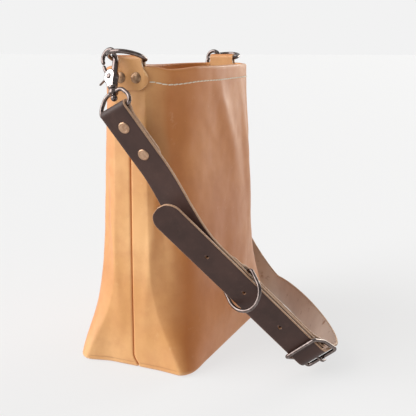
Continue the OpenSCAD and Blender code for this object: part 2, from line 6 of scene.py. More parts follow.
import bpy
import numpy as np
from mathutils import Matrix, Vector, noise

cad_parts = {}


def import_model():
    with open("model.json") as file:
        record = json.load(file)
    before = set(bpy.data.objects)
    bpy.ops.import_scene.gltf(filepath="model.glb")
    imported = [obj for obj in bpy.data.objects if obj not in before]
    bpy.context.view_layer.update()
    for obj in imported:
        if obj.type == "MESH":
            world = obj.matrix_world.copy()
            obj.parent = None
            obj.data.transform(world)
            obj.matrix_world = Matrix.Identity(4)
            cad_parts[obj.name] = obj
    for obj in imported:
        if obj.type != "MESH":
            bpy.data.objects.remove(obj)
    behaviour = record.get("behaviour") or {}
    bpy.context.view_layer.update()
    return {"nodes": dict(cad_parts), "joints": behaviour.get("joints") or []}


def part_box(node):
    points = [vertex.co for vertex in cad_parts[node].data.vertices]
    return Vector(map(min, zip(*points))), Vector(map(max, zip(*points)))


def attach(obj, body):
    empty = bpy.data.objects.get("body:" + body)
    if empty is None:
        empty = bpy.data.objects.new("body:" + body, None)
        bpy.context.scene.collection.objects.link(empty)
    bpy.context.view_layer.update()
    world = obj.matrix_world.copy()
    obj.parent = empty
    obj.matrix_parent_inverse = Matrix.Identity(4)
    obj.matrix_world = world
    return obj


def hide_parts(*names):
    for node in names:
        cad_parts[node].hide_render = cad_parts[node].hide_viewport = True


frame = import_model()

MM = 0.001  # shapes are worked out in millimetres and stored in metres
X, Y, Z = np.eye(3)


# ---- Places taken from the frame ----

joints = {j["name"]: j for j in frame["joints"]}


def joint_pos(name):
    return np.array(joints[name]["pos_m"], float) / MM


def unit(rows):
    """A vector, or each row of vectors, brought to length 1."""
    return rows / np.linalg.norm(rows, axis=-1, keepdims=True)


def joint_axis(name):
    return unit(np.array(joints[name]["axis"], float))


def node_box(name):
    low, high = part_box(name)
    return np.array(low) / MM, np.array(high) / MM


def frame_at(origin, y, z):
    """4x4 matrix of a local frame with this origin and these Y and Z axes."""
    m = np.eye(4)
    m[:3, 0], m[:3, 1], m[:3, 2], m[:3, 3] = np.cross(y, z), y, z, origin
    return m


def turned_y(m, degrees):
    """The frame m turned about its own Y axis."""
    a = math.radians(degrees)
    turn = np.eye(4)
    turn[0, 0] = turn[2, 2] = math.cos(a)
    turn[0, 2], turn[2, 0] = math.sin(a), -math.sin(a)
    return m @ turn


def shifted(m, x, y, z):
    """The frame m with its origin moved along its own axes."""
    out = m.copy()
    out[:3, 3] += m[:3, :3] @ np.array([x, y, z], float)
    return out


def world(m, points):
    """Local points, one a row, in the row frame."""
    return np.asarray(points, float) @ m[:3, :3].T + m[:3, 3]


# ---- Sizes ----

shell_low, shell_high = node_box("front_panel")
HALF_LENGTH = shell_high[0]
HALF_DEPTH = -shell_low[1]
HEIGHT = shell_high[2]
LEATHER = 2.2
MOUTH_TAPER = 22
END_TAPER = 5
END_FLAT = 2.7
STRAIGHT_TOP = 30
BASE_SHARPNESS = 10
MOUTH_SHARPNESS = 2.5
HEM_DEPTH = 22
STITCH_DROP = 15
GAP = 0.05
SHEET = LEATHER - 0.1  # drawn a hair thinner, so that neighbours don't share a face

STRAP_WIDTH = 32
STRAP_THICK = 3.2
SNAP_KINK = -44
BUCKLE_BEND = 60
EYE_R = 2.1
EYE_RIVETS = (17, 48.5)
FOLD_END = 48.5
BAR_R = 2.0
FOLD_RIVETS = (92, 124)
DOUBLED_END = 124
TAIL_LENGTH = 216
TAIL_LIFT = 1.75
HOLE_PITCH = 52
HOLE_SIZE = 3.6
FOOT_RUN = 26

EYE_PLY = EYE_R + GAP + STRAP_THICK / 2  # middle of the outer ply at an eye
BUCKLE_PLY = BAR_R + GAP + STRAP_THICK / 2
TAIL_PLY = BUCKLE_PLY + STRAP_THICK + TAIL_LIFT
OUTER_BAR_X = TAIL_PLY + STRAP_THICK / 2 + 0.45 + BAR_R
OUTER_BAR_Z = 14


def snap_frame(side):
    hinge = side + "_eye_hinge"
    return frame_at(joint_pos(hinge), joint_axis(hinge), joint_axis(side + "_snap_swivel"))


left_snap, right_snap = snap_frame("left"), snap_frame("right")
left_strap = turned_y(left_snap, -SNAP_KINK)
keeper_way = joint_pos("keeper_hinge") - joint_pos("buckle_hinge")
KEEPER_Z = np.linalg.norm(keeper_way)
buckle = frame_at(joint_pos("buckle_hinge"), joint_axis("buckle_hinge"), keeper_way / KEEPER_Z)
buckle_foot = turned_y(buckle, BUCKLE_BEND)


# ---- Mesh helpers ----


def make_object(name, points, faces, materials, face_slots=None, smooth=True):
    """Mesh object from points in millimetres."""
    mesh = bpy.data.meshes.new(name)
    mesh.from_pydata((np.asarray(points, float) * MM).tolist(), [], faces)
    mesh.validate()
    for material in materials:
        mesh.materials.append(material)
    if face_slots is not None:
        mesh.polygons.foreach_set("material_index", face_slots)
    mesh.polygons.foreach_set("use_smooth", [smooth] * len(mesh.polygons))
    mesh.update()
    obj = bpy.data.objects.new(name, mesh)
    bpy.context.scene.collection.objects.link(obj)
    return obj


def modify(obj, kind, **settings):
    modifier = obj.modifiers.new(kind.title(), kind)
    for key, value in settings.items():
        setattr(modifier, key, value)
    return modifier


def belongs(obj, body, node):
    """Ties a piece to its body and hides the CAD node that it stands for."""
    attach(obj, body)
    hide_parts(node)


def thicken(obj, offset):
    """Turns a sheet of bag leather into a solid: grain outside, flesh inside, cut edges."""
    modify(obj, "SOLIDIFY", thickness=SHEET * MM, offset=offset, material_offset=1, material_offset_rim=2)


def grid_faces(rows, columns, closed=False, base=0):
    """Quads of a grid of points stored row by row; closed joins the last column to the first."""
    faces = []
    for r in range(rows - 1):
        for c in range(columns if closed else columns - 1):
            d = (c + 1) % columns
            a = base + r * columns
            faces.append((a + c, a + d, a + columns + d, a + columns + c))
    return faces


class Parts:
    """Collects shapes into one mesh."""

    def __init__(self):
        self.points, self.faces, self.slots, self.count = [], [], [], 0

    def add(self, points, faces, slots=0):
        self.faces += [tuple(i + self.count for i in f) for f in faces]
        self.slots += [slots] * len(faces) if isinstance(slots, int) else list(slots)
        self.points.append(np.asarray(points, float))
        self.count += len(points)

    def put(self, m, shape, slots=0):
        """Adds a shape, given as points and faces, in the frame m."""
        self.add(world(m, shape[0]), shape[1], slots)

    def build(self, name, materials):
        return make_object(name, np.vstack(self.points), self.faces, materials, self.slots)


def resample(path, step):
    """Points along a polyline at about this spacing."""
    path = np.asarray(path, float)
    length = np.r_[0, np.cumsum(np.linalg.norm(np.diff(path, axis=0), axis=1))]
    at = np.linspace(0, length[-1], max(int(round(length[-1] / step)), 2) + 1)
    return np.column_stack([np.interp(at, length, path[:, k]) for k in range(path.shape[1])])


def rounded(corners, radius, closed=False, steps=8):
    """Polyline through corners in space, with each corner turned into a smooth bend."""
    pts = [np.asarray(p, float) for p in corners]
    n = len(pts)
    out = []
    for i in range(n):
        if not closed and i in (0, n - 1):
            out.append(pts[i])
            continue
        before, here, after = pts[i - 1], pts[i], pts[(i + 1) % n]
        a, b = before - here, after - here
        cut = min(radius, np.linalg.norm(a) / 2.02, np.linalg.norm(b) / 2.02)
        start, end = here + a / np.linalg.norm(a) * cut, here + b / np.linalg.norm(b) * cut
        for t in np.linspace(0, 1, steps + 1):
            out.append((1 - t) ** 2 * start + 2 * t * (1 - t) * here + t * t * end)
    if closed:
        out.append(out[0])
    return np.array(out)


def tube(path, radius, closed=False, sides=16, flat=1.0, wide=1.0, up=None):
    """Round rod along a path. radius is a number or one value a point; the ends are rounded."""
    path = np.asarray(path, float)
    if closed:
        path = path[:-1]
    n = len(path)
    radii = np.full(n, float(radius)) if np.isscalar(radius) else np.asarray(radius, float)
    if closed:
        way = np.roll(path, -1, 0) - np.roll(path, 1, 0)
    else:
        way = np.gradient(path, axis=0)
    way = unit(way)
    side = np.cross(way[0], Z if up is None else up)
    if np.linalg.norm(side) < 0.1:
        side = np.cross(way[0], X)
    sides_dir = []
    for w in way:
        side = side - (side @ w) * w
        side = side / np.linalg.norm(side)
        sides_dir.append(side)
    if not closed:  # rounded ends
        caps = [0.1, 0.45, 0.75, 0.94]
        lead = [path[0] - way[0] * radii[0] * math.sqrt(1 - c * c) for c in caps]
        trail = [path[-1] + way[-1] * radii[-1] * math.sqrt(1 - c * c) for c in reversed(caps)]
        path = np.vstack([lead, path, trail])
        radii = np.r_[[c * radii[0] for c in caps], radii, [c * radii[-1] for c in reversed(caps)]]
        way = np.vstack([[way[0]] * 4, way, [way[-1]] * 4])
        sides_dir = [sides_dir[0]] * 4 + sides_dir + [sides_dir[-1]] * 4
    angle = np.linspace(0, 2 * math.pi, sides, endpoint=False)
    points = []
    for p, w, s, r in zip(path, way, sides_dir, radii):
        other = np.cross(w, s)
        for a in angle:
            points.append(p + r * wide * math.cos(a) * s + r * flat * math.sin(a) * other)
    rows = len(path)
    faces = grid_faces(rows, sides, closed=True)
    if closed:
        last = (rows - 1) * sides
        faces += [(last + c, last + (c + 1) % sides, (c + 1) % sides, c) for c in range(sides)]
    else:
        faces += [tuple(range(sides - 1, -1, -1)), tuple(range((rows - 1) * sides, rows * sides))]
    return np.array(points), faces


def lathe(profile, sides=40):
    """Solid turned about Z from (radius, height) pairs; ends at radius 0 close to a point."""
    points, rows = [], []
    turn = np.linspace(0, 2 * math.pi, sides, endpoint=False)
    for r, h in profile:
        if r < 1e-6:
            rows.append([len(points)])
            points.append([0, 0, h])
        else:
            rows.append(list(range(len(points), len(points) + sides)))
            points += [[r * math.cos(a), r * math.sin(a), h] for a in turn]
    faces = []
    for low, high in zip(rows, rows[1:]):
        for c in range(sides):
            d = (c + 1) % sides
            if len(low) == 1:
                faces.append((low[0], high[d], high[c]))
            elif len(high) == 1:
                faces.append((low[c], low[d], high[0]))
            else:
                faces.append((low[c], low[d], high[d], high[c]))
    return np.array(points, float), faces


def plate(outline, thick, edge=0.7, steps=3):
    """Plate in the YZ plane from (y, z) points, with flat faces and rounded edges."""
    outline = np.asarray(outline, float)
    n = len(outline)
    way = unit(np.roll(outline, -1, 0) - np.roll(outline, 1, 0))
    inward = np.column_stack([-way[:, 1], way[:, 0]])
    area = np.sum(outline[:, 0] * np.roll(outline[:, 1], -1) - np.roll(outline[:, 0], -1) * outline[:, 1])
    if area < 0:
        inward = -inward
    quarter = np.linspace(0, math.pi / 2, steps + 1)
    back = [(-thick / 2 + edge * (1 - math.cos(a)), edge * (1 - math.sin(a))) for a in quarter]
    points = []
    for x, inset in back + [(-x, inset) for x, inset in reversed(back)]:
        points += [[x, p[0], p[1]] for p in outline + inward * inset]
    rows = 2 * (steps + 1)
    faces = grid_faces(rows, n, closed=True)
    faces += [tuple(range(n - 1, -1, -1)), tuple(range((rows - 1) * n, rows * n))]
    return np.array(points), faces


# ---- Materials ----


def set_range(node, *numbers):
    """From low, from high, to low and to high of a map range node."""
    for key, number in zip(("From Min", "From Max", "To Min", "To Max"), numbers):
        node.inputs[key].default_value = number


class Shader:
    """A node-based material, with short calls for the nodes it is made of."""

    def __init__(self, name):
        self.material = bpy.data.materials.new(name)
        self.material.use_nodes = True
        self.tree = self.material.node_tree
        self.surface = self.tree.nodes["Principled BSDF"]
        self.coords = self.node("ShaderNodeTexCoord").outputs["Object"]

    def node(self, kind, **settings):
        made = self.tree.nodes.new(kind)
        for key, value in settings.items():
            setattr(made, key, value)
        return made

    def join(self, source, target):
        if isinstance(source, (int, float, tuple)):
            target.default_value = source
        else:
            self.tree.links.new(source, target)

    def stretched(self, scale):
        mapping = self.node("ShaderNodeMapping")
        self.join(self.coords, mapping.inputs["Vector"])
        mapping.inputs["Scale"].default_value = scale
        return mapping.outputs["Vector"]

    def noise(self, scale, detail=4.0, roughness=0.55, vector=None):
        made = self.node("ShaderNodeTexNoise")
        made.inputs["Scale"].default_value = scale
        made.inputs["Detail"].default_value = detail
        made.inputs["Roughness"].default_value = roughness
        self.join(vector or self.coords, made.inputs["Vector"])
        return made.outputs["Fac"]

    def cells(self, scale, feature="F1"):
        made = self.node("ShaderNodeTexVoronoi", feature=feature)
        made.inputs["Scale"].default_value = scale
        self.join(self.coords, made.inputs["Vector"])
        return made.outputs["Distance"]

    def ramp(self, value, low, high, out_low=0.0, out_high=1.0):
        made = self.node("ShaderNodeMapRange", clamp=True)
        self.join(value, made.inputs["Value"])
        set_range(made, low, high, out_low, out_high)
        return made.outputs["Result"]

    def maths(self, operation, a, b):
        made = self.node("ShaderNodeMath", operation=operation)
        self.join(a, made.inputs[0])
        self.join(b, made.inputs[1])
        return made.outputs["Value"]

    def mix(self, factor, a, b):
        made = self.node("ShaderNodeMix", data_type="RGBA")
        self.join(factor, made.inputs["Factor"])
        self.join(a, made.inputs[6])
        self.join(b, made.inputs[7])
        return made.outputs[2]

    def edges(self, low, high):
        """1 on convex edges and 0 elsewhere, or the other way round for creases."""
        return self.ramp(self.node("ShaderNodeNewGeometry").outputs["Pointiness"], low, high)

    def bump(self, height, distance, strength=1.0, normal=None):
        made = self.node("ShaderNodeBump")
        made.inputs["Strength"].default_value = strength
        made.inputs["Distance"].default_value = distance * MM
        self.join(height, made.inputs["Height"])
        if normal is not None:
            self.join(normal, made.inputs["Normal"])
        return made.outputs["Normal"]

    def set(self, **inputs):
        for key, value in inputs.items():
            self.join(value, self.surface.inputs[key.replace("_", " ")])
        return self.material


def rgb(*display):
    """Scene colour from 0-255 display values."""
    shares = [c / 255 for c in display]
    return tuple(c / 12.92 if c <= 0.04045 else ((c + 0.055) / 1.055) ** 2.4 for c in shares) + (1.0,)


def bag_leather():
    """Smooth tan hide: drifts of colour, fine pores and faint pull marks, with painted shade in the creases,
    a painted highlight on convex edges and paler painted light over the ends.
    """
    s = Shader("bag_leather")
    drift = s.noise(9, 3)
    cloud = s.noise(38, 5, 0.6)
    facing = s.node("ShaderNodeSeparateXYZ")
    s.join(s.node("ShaderNodeNewGeometry").outputs["Normal"], facing.inputs[0])
    end = s.ramp(s.maths("ABSOLUTE", facing.outputs["X"], 0.0), 0.50, 1.0)  # painted light: surfaces facing along X, over both ends, get paler lit colours
    # the second colour of each pair is the painted lit colour of the ends
    deep = s.mix(end, rgb(196, 116, 52), rgb(210, 150, 88))
    pale = s.mix(end, rgb(214, 138, 72), rgb(232, 180, 122))
    colour = s.mix(s.ramp(drift, 0.35, 0.68), deep, pale)
    colour = s.mix(s.ramp(cloud, 0.42, 0.78, 0, 0.40), colour, rgb(176, 100, 46))
    mark = s.ramp(s.noise(95, 6, 0.7), 0.62, 0.78, 0, 0.30)
    colour = s.mix(mark, colour, rgb(236, 196, 146))
    freckle = s.ramp(s.cells(260), 0.02, 0.10, 0.35, 0)
    colour = s.mix(freckle, colour, rgb(150, 88, 42))
    # painted shade: creases and the seam's valley darken to deep reddish brown
    crease = s.edges(0.497, 0.455)
    colour = s.mix(crease, colour, rgb(104, 44, 16))
    # painted highlight: convex edges and rolled seam lips turn pale
    rim = s.edges(0.515, 0.56)
    colour = s.mix(s.maths("MULTIPLY", rim, 0.6), colour, rgb(240, 198, 148))
    pull = s.noise(60, 5, 0.6, s.stretched((1, 1, 0.35)))
    pores = s.cells(1500)
    grain = s.noise(1900, 3, 0.6)
    normal = s.bump(pull, 0.30, 0.5)
    normal = s.bump(pores, 0.05, 0.45, normal)
    normal = s.bump(grain, 0.04, 0.5, normal)
    rough = s.maths("ADD", s.ramp(cloud, 0.3, 0.7, 0.36, 0.48), s.ramp(grain, 0.3, 0.7, 0, 0.06))
    return s.set(Base_Color=colour, Roughness=rough, Normal=normal, Specular_IOR_Level=0.5,
                 Coat_Weight=0.10, Coat_Roughness=0.35, Sheen_Weight=0.15, Sheen_Roughness=0.45,
                 Sheen_Tint=(1.0, 0.88, 0.72, 1))


def hide_back():
    """Flesh side of the bag leather, inside the bag: matt, fibrous and paler."""
    s = Shader("bag_flesh_side")
    fibre = s.noise(420, 6, 0.7)
    patch = s.noise(24, 4)
    colour = s.mix(s.ramp(patch, 0.3, 0.7), rgb(208, 178, 150), rgb(226, 200, 176))
    colour = s.mix(s.ramp(fibre, 0.4, 0.7, 0, 0.5), colour, rgb(172, 126, 86))
    return s.set(Base_Color=colour, Roughness=0.85, Normal=s.bump(fibre, 0.25, 0.8))


def cut_edge(name, colour_a, colour_b):
    """Burnished cut edge: layered fibres along the strap, slightly glossy."""
    s = Shader(name)
    fibre = s.noise(700, 5, 0.6)
    colour = s.mix(s.ramp(fibre, 0.35, 0.7), colour_a, colour_b)
    return s.set(Base_Color=colour, Roughness=0.5, Normal=s.bump(fibre, 0.10, 0.6))


def strap_grain():
    """Dark bridle leather: tight grain, waxy bloom and lighter scuffs where it bends."""
    s = Shader("strap_grain")
    cloud = s.noise(30, 4)
    tight = s.noise(1300, 4, 0.6)
    colour = s.mix(s.ramp(cloud, 0.3, 0.7), rgb(54, 34, 28), rgb(72, 48, 41))
    bloom = s.ramp(s.noise(150, 5, 0.65), 0.55, 0.8, 0, 0.18)
    colour = s.mix(bloom, colour, rgb(108, 80, 70))
    colour = s.mix(s.maths("MULTIPLY", s.edges(0.53, 0.6), 0.4), colour, rgb(140, 108, 92))
    normal = s.bump(s.cells(1700), 0.05, 0.5)
    normal = s.bump(tight, 0.05, 0.5, normal)
    return s.set(Base_Color=colour, Roughness=s.ramp(tight, 0.3, 0.7, 0.42, 0.55), Normal=normal,
                 Specular_IOR_Level=0.35)


def strap_flesh():
    """Grey-brown flesh side with rubbed marks."""
    s = Shader("strap_flesh")
    fibre = s.noise(350, 6, 0.7)
    rub = s.ramp(s.noise(55, 5, 0.65), 0.60, 0.70, 0, 0.8)
    colour = s.mix(s.ramp(s.noise(20, 3), 0.3, 0.7), rgb(176, 156, 142), rgb(204, 186, 172))
    colour = s.mix(rub, colour, rgb(136, 92, 62))
    return s.set(Base_Color=colour, Roughness=0.7, Normal=s.bump(fibre, 0.15, 0.6))


def metal(name, dark, light, rough, worn):
    """Plated metal: darker in its mottles, brighter where its edges rub, with fine scratches."""
    s = Shader(name)
    mottle = s.noise(220, 5, 0.6)
    scratch = s.noise(900, 3, 0.5, s.stretched((1, 0.2, 1)))
    colour = s.mix(s.ramp(mottle, 0.35, 0.7), dark, light)
    colour = s.mix(s.maths("MULTIPLY", s.edges(0.54, 0.66), worn), colour, rgb(206, 186, 168))
    dull = s.ramp(mottle, 0.3, 0.7, rough, rough + 0.12)
    spread = s.maths("ADD", dull, s.ramp(scratch, 0.5, 0.75, 0, 0.06))
    return s.set(Base_Color=colour, Metallic=1.0, Roughness=spread, Normal=s.bump(scratch, 0.012, 0.5))


def thread_cord():
    """Waxed thread: twisted strands."""
    s = Shader("thread")
    twist = s.node("ShaderNodeTexWave", wave_type="BANDS", bands_direction="DIAGONAL")
    twist.inputs["Scale"].default_value = 700
    s.join(s.coords, twist.inputs["Vector"])
    colour = s.mix(s.ramp(s.noise(300, 3), 0.3, 0.7), rgb(236, 222, 196), rgb(250, 240, 220))
    return s.set(Base_Color=colour, Roughness=0.55, Normal=s.bump(twist.outputs["Fac"], 0.10, 0.8))


TAN = bag_leather()
TAN_BACK = hide_back()
TAN_EDGE = cut_edge("bag_cut_edge", rgb(196, 156, 118), rgb(222, 186, 150))
GRAIN = strap_grain()
FLESH = strap_flesh()
STRAP_EDGE = cut_edge("strap_cut_edge", rgb(176, 134, 104), rgb(206, 168, 136))
HARDWARE = metal("hardware", rgb(96, 84, 80), rgb(138, 126, 122), 0.13, 0.6)
# painted reflection: a lighter copy of the hardware metal for the snap body's flat faces
LIT_FACE_METAL = metal("painted_lit_face", rgb(196, 190, 188), rgb(224, 220, 218), 0.16, 0.3)
BRASS = metal("old_brass", rgb(150, 118, 92), rgb(188, 154, 124), 0.40, 0.35)
COPPER = metal("rivet_copper", rgb(170, 134, 108), rgb(204, 170, 142), 0.33, 0.4)
STEEL = metal("spring_steel", rgb(150, 150, 154), rgb(190, 190, 194), 0.2, 0.3)
THREAD = thread_cord()


# ---- Bag shell ----


def rise(z):
    return min(max(z, 0), HEIGHT - STRAIGHT_TOP) / HEIGHT


TOP_RISE = rise(HEIGHT)


def half_length(z):
    return HALF_LENGTH + END_FLAT - END_TAPER * (rise(z) / TOP_RISE) ** 2


def half_depth(z):
    return HALF_DEPTH - MOUTH_TAPER / 2 * (rise(z) / TOP_RISE) ** 1.6


def sharpness(z):
    return MOUTH_SHARPNESS + (BASE_SHARPNESS - MOUTH_SHARPNESS) * (1 - rise(z) / TOP_RISE) ** 9


def ease(value, low, high):
    """0 below low, 1 above high and smooth between."""
    t = np.clip((np.asarray(value, float) - low) / (high - low), 0, 1)
    return t * t * (3 - 2 * t)


def bell(value, centre, width):
    return np.exp(-(((np.asarray(value, float) - centre) / width) ** 2))


LIP = 2.4  # radius of the rolled edge along a seam
FLAT_LIP = 0.06  # the same where two panels meet without a roll
LIP_REACH = 0.985  # how nearly a lip comes to the one across the seam
BASE_SEAM_SHARE = 0.66  # the base seam's length as a share of the bag's
FLANGE = 7  # width of the turned-in allowance past the lip
COLUMNS = 260
HEM_FOLD_R = LEATHER
FOOT_R = 3.5  # rounding between wall and base


def lip_at(z):
    """The lip fades out under the tab, where the two panels meet flat."""
    return FLAT_LIP + (LIP - FLAT_LIP) * (1 - ease(z, 268, 286))


def outline(z, inset, count):
    """Outer line of the front half of the shell, right seam to left seam, at even spacing."""
    angle = np.linspace(0, math.pi, 1441)
    power = 2 / sharpness(z)
    c, s = np.cos(angle), np.sin(angle)
    reach = half_length(z) - inset
    x = np.sign(c) * np.minimum(np.abs(c) ** power * reach, reach - END_FLAT)
    y = -np.maximum(np.abs(s) ** power * (half_depth(z) - inset), lip_at(z))
    length = np.r_[0, np.cumsum(np.hypot(np.diff(x), np.diff(y)))]
    at = np.linspace(0, length[-1], count)
    return np.column_stack([np.interp(at, length, x), np.interp(at, length, y)])


def outward(line):
    """Unit normals that point out of the bag, from a line of points."""
    way = np.gradient(line, axis=0)
    normal = np.column_stack([-way[:, 1], way[:, 0]])
    normal /= np.linalg.norm(normal, axis=1)[:, None] + 1e-12
    flip = np.sign(np.sum(normal * line, axis=1))
    return normal * np.where(flip == 0, 1, flip)[:, None]


def slouch(x, y, z, front):
    """How far the soft wall stands out from its plain shape, in mm."""
    free = ease(z, 4, 60) * (1 - 0.55 * ease(z, 285, 305))
    face = ease(np.abs(y), 14, 40)  # nothing moves at the seams and tabs
    out = np.zeros_like(x)
    if front:
        out += -4.2 * bell(x, -34, 40) * bell(z, 214, 62)
        out += 2.6 * bell(x + 0.42 * (z - 240), 2, 15) * bell(z, 246, 46)
        out += 3.0 * bell(x + 0.12 * (z - 200), 60, 13) * bell(z, 205, 84)
        out += -3.0 * bell(x + 0.12 * (z - 200), 84, 9) * bell(z, 196, 95)
        out += 2.6 * bell(x, 101, 8) * bell(z, 190, 110)
        out += 2.4 * bell(x, -88, 18) * bell(z, 120, 66)
        out += -2.6 * bell(x - 0.30 * z, -62, 26) * bell(z, 96, 60)
        out += 1.8 * bell(x - 0.55 * z, -16, 15) * bell(z, 62, 40)
        out += -1.6 * bell(x, -96, 10) * bell(z, 258, 30)
    else:
        out += -2.6 * bell(x, 20, 50) * bell(z, 190, 70)
        out += 1.8 * bell(x - 0.08 * (z - 180), -64, 16) * bell(z, 200, 90)
        out += -1.5 * bell(x - 0.08 * (z - 180), -86, 10) * bell(z, 190, 90)
        out += 1.4 * bell(x, 82, 22) * bell(z, 130, 60)
        out += 2.0 * bell(x - 0.5 * z, -40, 16) * bell(z, 90, 50)
    end = ease(np.abs(x), 104, 114)
    out = out - 4.0 * ease(x, 92, 116) * bell(z, 205, 66)
    crease = bell(np.abs(y), 31 if front else 36, 12) * -2.6 * bell(z, 170, 92)
    crease += bell(np.abs(y) - 0.10 * (z - 60), 15, 5) * 1.1 * bell(z, 150, 90)
    corner = ease(np.abs(x), 78, 118) * ease(np.abs(y), 26, 58)
    flare = corner * (2.5 * bell(z, 0, 30) if front else 5.0 * bell(z, 0, 40) + 3.5 * bell(z, 96, 80))
    return (out * face + end * crease * ease(np.abs(y), 4, 12)) * free + flare


def mouth_dip(x, y, front):
    """How far the mouth's edge sags below its full height."""
    free = ease(np.abs(y), 22, 36)
    if front:
        dip = 3.0 * bell(x, -100, 27) + 0.7 * bell(x, -30, 40) + 0.8 * bell(x, 100, 26)
    else:
        dip = 1.2 * bell(x, 40, 46) + 1.6 * bell(x, -92, 30)
    return dip * free


def ripple(points):
    """Small unevenness of hide, a fraction of a millimetre."""
    return np.array([noise.noise(Vector(p) * 0.035) + 0.5 * noise.noise(Vector(p) * 0.09) for p in points])


def wall_line(z, inset, count, front):
    """Points of one panel at a height, with the slouch and the mouth's sag, and their normals."""
    flat = outline(z, inset, count)
    normal = outward(flat)
    x, y = flat[:, 0], flat[:, 1]
    side = 1 if front else -1
    moved = slouch(x, y, z, front)
    heights = z - mouth_dip(x, y, front) * ease(z, HEIGHT - 75, HEIGHT - 5)
    points = np.column_stack([x, y * side, heights])
    normals = np.column_stack([normal[:, 0], normal[:, 1] * side, np.zeros(count)])
    still = ease(np.abs(y), 3, 12) * ease(z, 3, 30)
    moved = moved + 0.45 * ripple(points) * still
    return points + normals * moved[:, None], normals


def panel_rows(front):
    """Rows of the panel's outer face: inside the hem, over the mouth, down the wall and under the base."""
    rows = []  # each row: points, inward direction at the seam as (x share, z), lip radius, flange width
    centre_z = HEIGHT - HEM_FOLD_R
    deep = 2 * HEM_FOLD_R

    def add(z, inset, height=None, lean=0.0, lip=None, flange=None):
        points = wall_line(z, inset, COLUMNS, front)[0]
        if height is not None:
            points[:, 2] += height - z
        r = lip_at(z) if lip is None else lip
        grown = FLANGE * (r - FLAT_LIP) / (LIP - FLAT_LIP)
        rows.append((points, lean, r, grown if flange is None else flange))

    for z in np.linspace(HEIGHT - HEM_DEPTH, centre_z, 8)[:-1]:
        add(z, deep, lip=FLAT_LIP, flange=0)
    for a in np.linspace(0, math.pi, 13):
        height = centre_z + HEM_FOLD_R * math.sin(a)
        add(centre_z, HEM_FOLD_R * (1 + math.cos(a)), height, lip=FLAT_LIP, flange=0)
    walls = np.r_[np.linspace(centre_z, 30, 96)[1:], np.linspace(30, FOOT_R, 16)[1:]]
    for z in walls:
        add(z, 0)
    for a in np.linspace(0, math.pi / 2, 7)[1:]:
        add(FOOT_R, FOOT_R * (1 - math.cos(a)), FOOT_R * (1 - math.sin(a)), lean=math.sin(a))
    rim = rows[-1][0]
    side = 1 if front else -1
    seam_end = BASE_SEAM_SHARE * min(abs(rim[0, 0]), abs(rim[-1, 0]))
    seam_x = np.clip(rim[:, 0] * BASE_SEAM_SHARE, -seam_end, seam_end)
    target = np.column_stack([seam_x, np.full(COLUMNS, -LIP * side), rim[:, 2]])
    for t in np.linspace(0, 1, 9)[1:]:
        rows.append((rim * (1 - t) + target * t, 1.0, LIP, FLANGE))
    return rows


def lip_columns(points, sign_x, side, lean, lip, flange):
    """The rolled edge and turned-in allowance beyond a panel's seam edge, nearest first."""
    inward = np.array([-sign_x * math.sqrt(max(1 - lean * lean, 0)), 0, lean])
    across = np.array([0, side, 0])
    out = []
    for a in np.linspace(0, math.pi / 2, 7)[1:]:
        out.append(points + across * lip * math.sin(a) * LIP_REACH + inward * lip * (1 - math.cos(a)))
    for reach in (0.35, 0.7, 1.0):
        out.append(out[5] + inward * flange * reach)
    return out


def shift_corner(points):
    """Swings the side seam's foot towards the front, and presses a shallow groove round the end's base."""
    x, y, z = points.T.copy()
    near = (1 - ease(z, 2, 16)) ** 1.5 * bell(y, 0, 20) * ease(np.abs(x), 96, 112)
    points[:, 1] -= 5 * near
    groove = bell(z, 4.6, 0.9) * ease(np.abs(x), 112, 118) * (1 - ease(np.abs(y - 5 * near), 50, 60))
    points[:, 0] -= np.sign(x) * 0.9 * groove
    return points


def leather_panel(front):
    side = 1 if front else -1
    rows = panel_rows(front)
    table = []
    for points, lean, lip, flange in rows:
        right = lip_columns(points[0], 1, side, lean, lip, flange)
        left = lip_columns(points[-1], -1, side, lean, lip, flange)
        table.append(np.vstack([right[::-1], points, left]))
    last = rows[-1][0]
    lips = len(right)
    for a in np.linspace(0, math.pi / 2, 7)[1:]:
        row = last + np.array([0, side * LIP * math.sin(a) * LIP_REACH, LIP * (1 - math.cos(a))])
        table.append(np.vstack([[row[0]] * lips, row, [row[-1]] * lips]))
    for reach in (0.5, 1.0):
        up = row + np.array([0, 0, FLANGE * reach])
        table.append(np.vstack([[up[0]] * lips, up, [up[-1]] * lips]))
    columns = len(table[0])
    points = shift_corner(np.vstack(table))
    faces = grid_faces(len(table), columns)
    if not front:
        faces = [f[::-1] for f in faces]
    name = "front_leather" if front else "back_leather"
    obj = make_object(name, points, faces, [TAN, TAN_BACK, TAN_EDGE])
    modify(obj, "WELD", merge_threshold=0.02 * MM)
    thicken(obj, -1.0)
    belongs(obj, "root", "front_panel" if front else "back_panel")


# ---- Stitches ----


def stitch(points, normals, pitch, length, radius, parts):
    """A row of stitches along a line: each a short rod whose ends dip into the leather."""
    track = resample(np.hstack([points, normals]), 0.5)
    way = np.gradient(track[:, :3], axis=0)
    run = np.r_[0, np.cumsum(np.linalg.norm(np.diff(track[:, :3], axis=0), axis=1))]
    for at in np.arange(pitch, run[-1] - pitch / 2, pitch):
        k = int(np.searchsorted(run, at))
        here, out = track[k, :3], track[k, 3:] / np.linalg.norm(track[k, 3:])
        w = way[k] / np.linalg.norm(way[k])
        w = w + 0.06 * np.cross(out, w)
        path = [
            here + w * length * (t - 0.5) + out * (radius * 0.75 * (1 - (2 * t - 1) ** 4) - radius * 0.35)
            for t in np.linspace(0, 1, 6)
        ]
        parts.add(*tube(path, radius, sides=8, up=out))


def hem_stitches():
    """One row round the outside of the mouth and one inside the hem, between the tabs."""
    parts = Parts()
    for front in (True, False):
        for inset, way in ((0, 1), (2 * LEATHER, -1)):
            points, normals = wall_line(HEIGHT - STITCH_DROP, inset, 520, front)
            free = np.abs(points[:, 1]) > 20.5
            stitch(points[free], way * normals[free], 6.2, 4.6, 0.62, parts)
    belongs(parts.build("hem_stitches", [THREAD]), "root", "hem_thread")


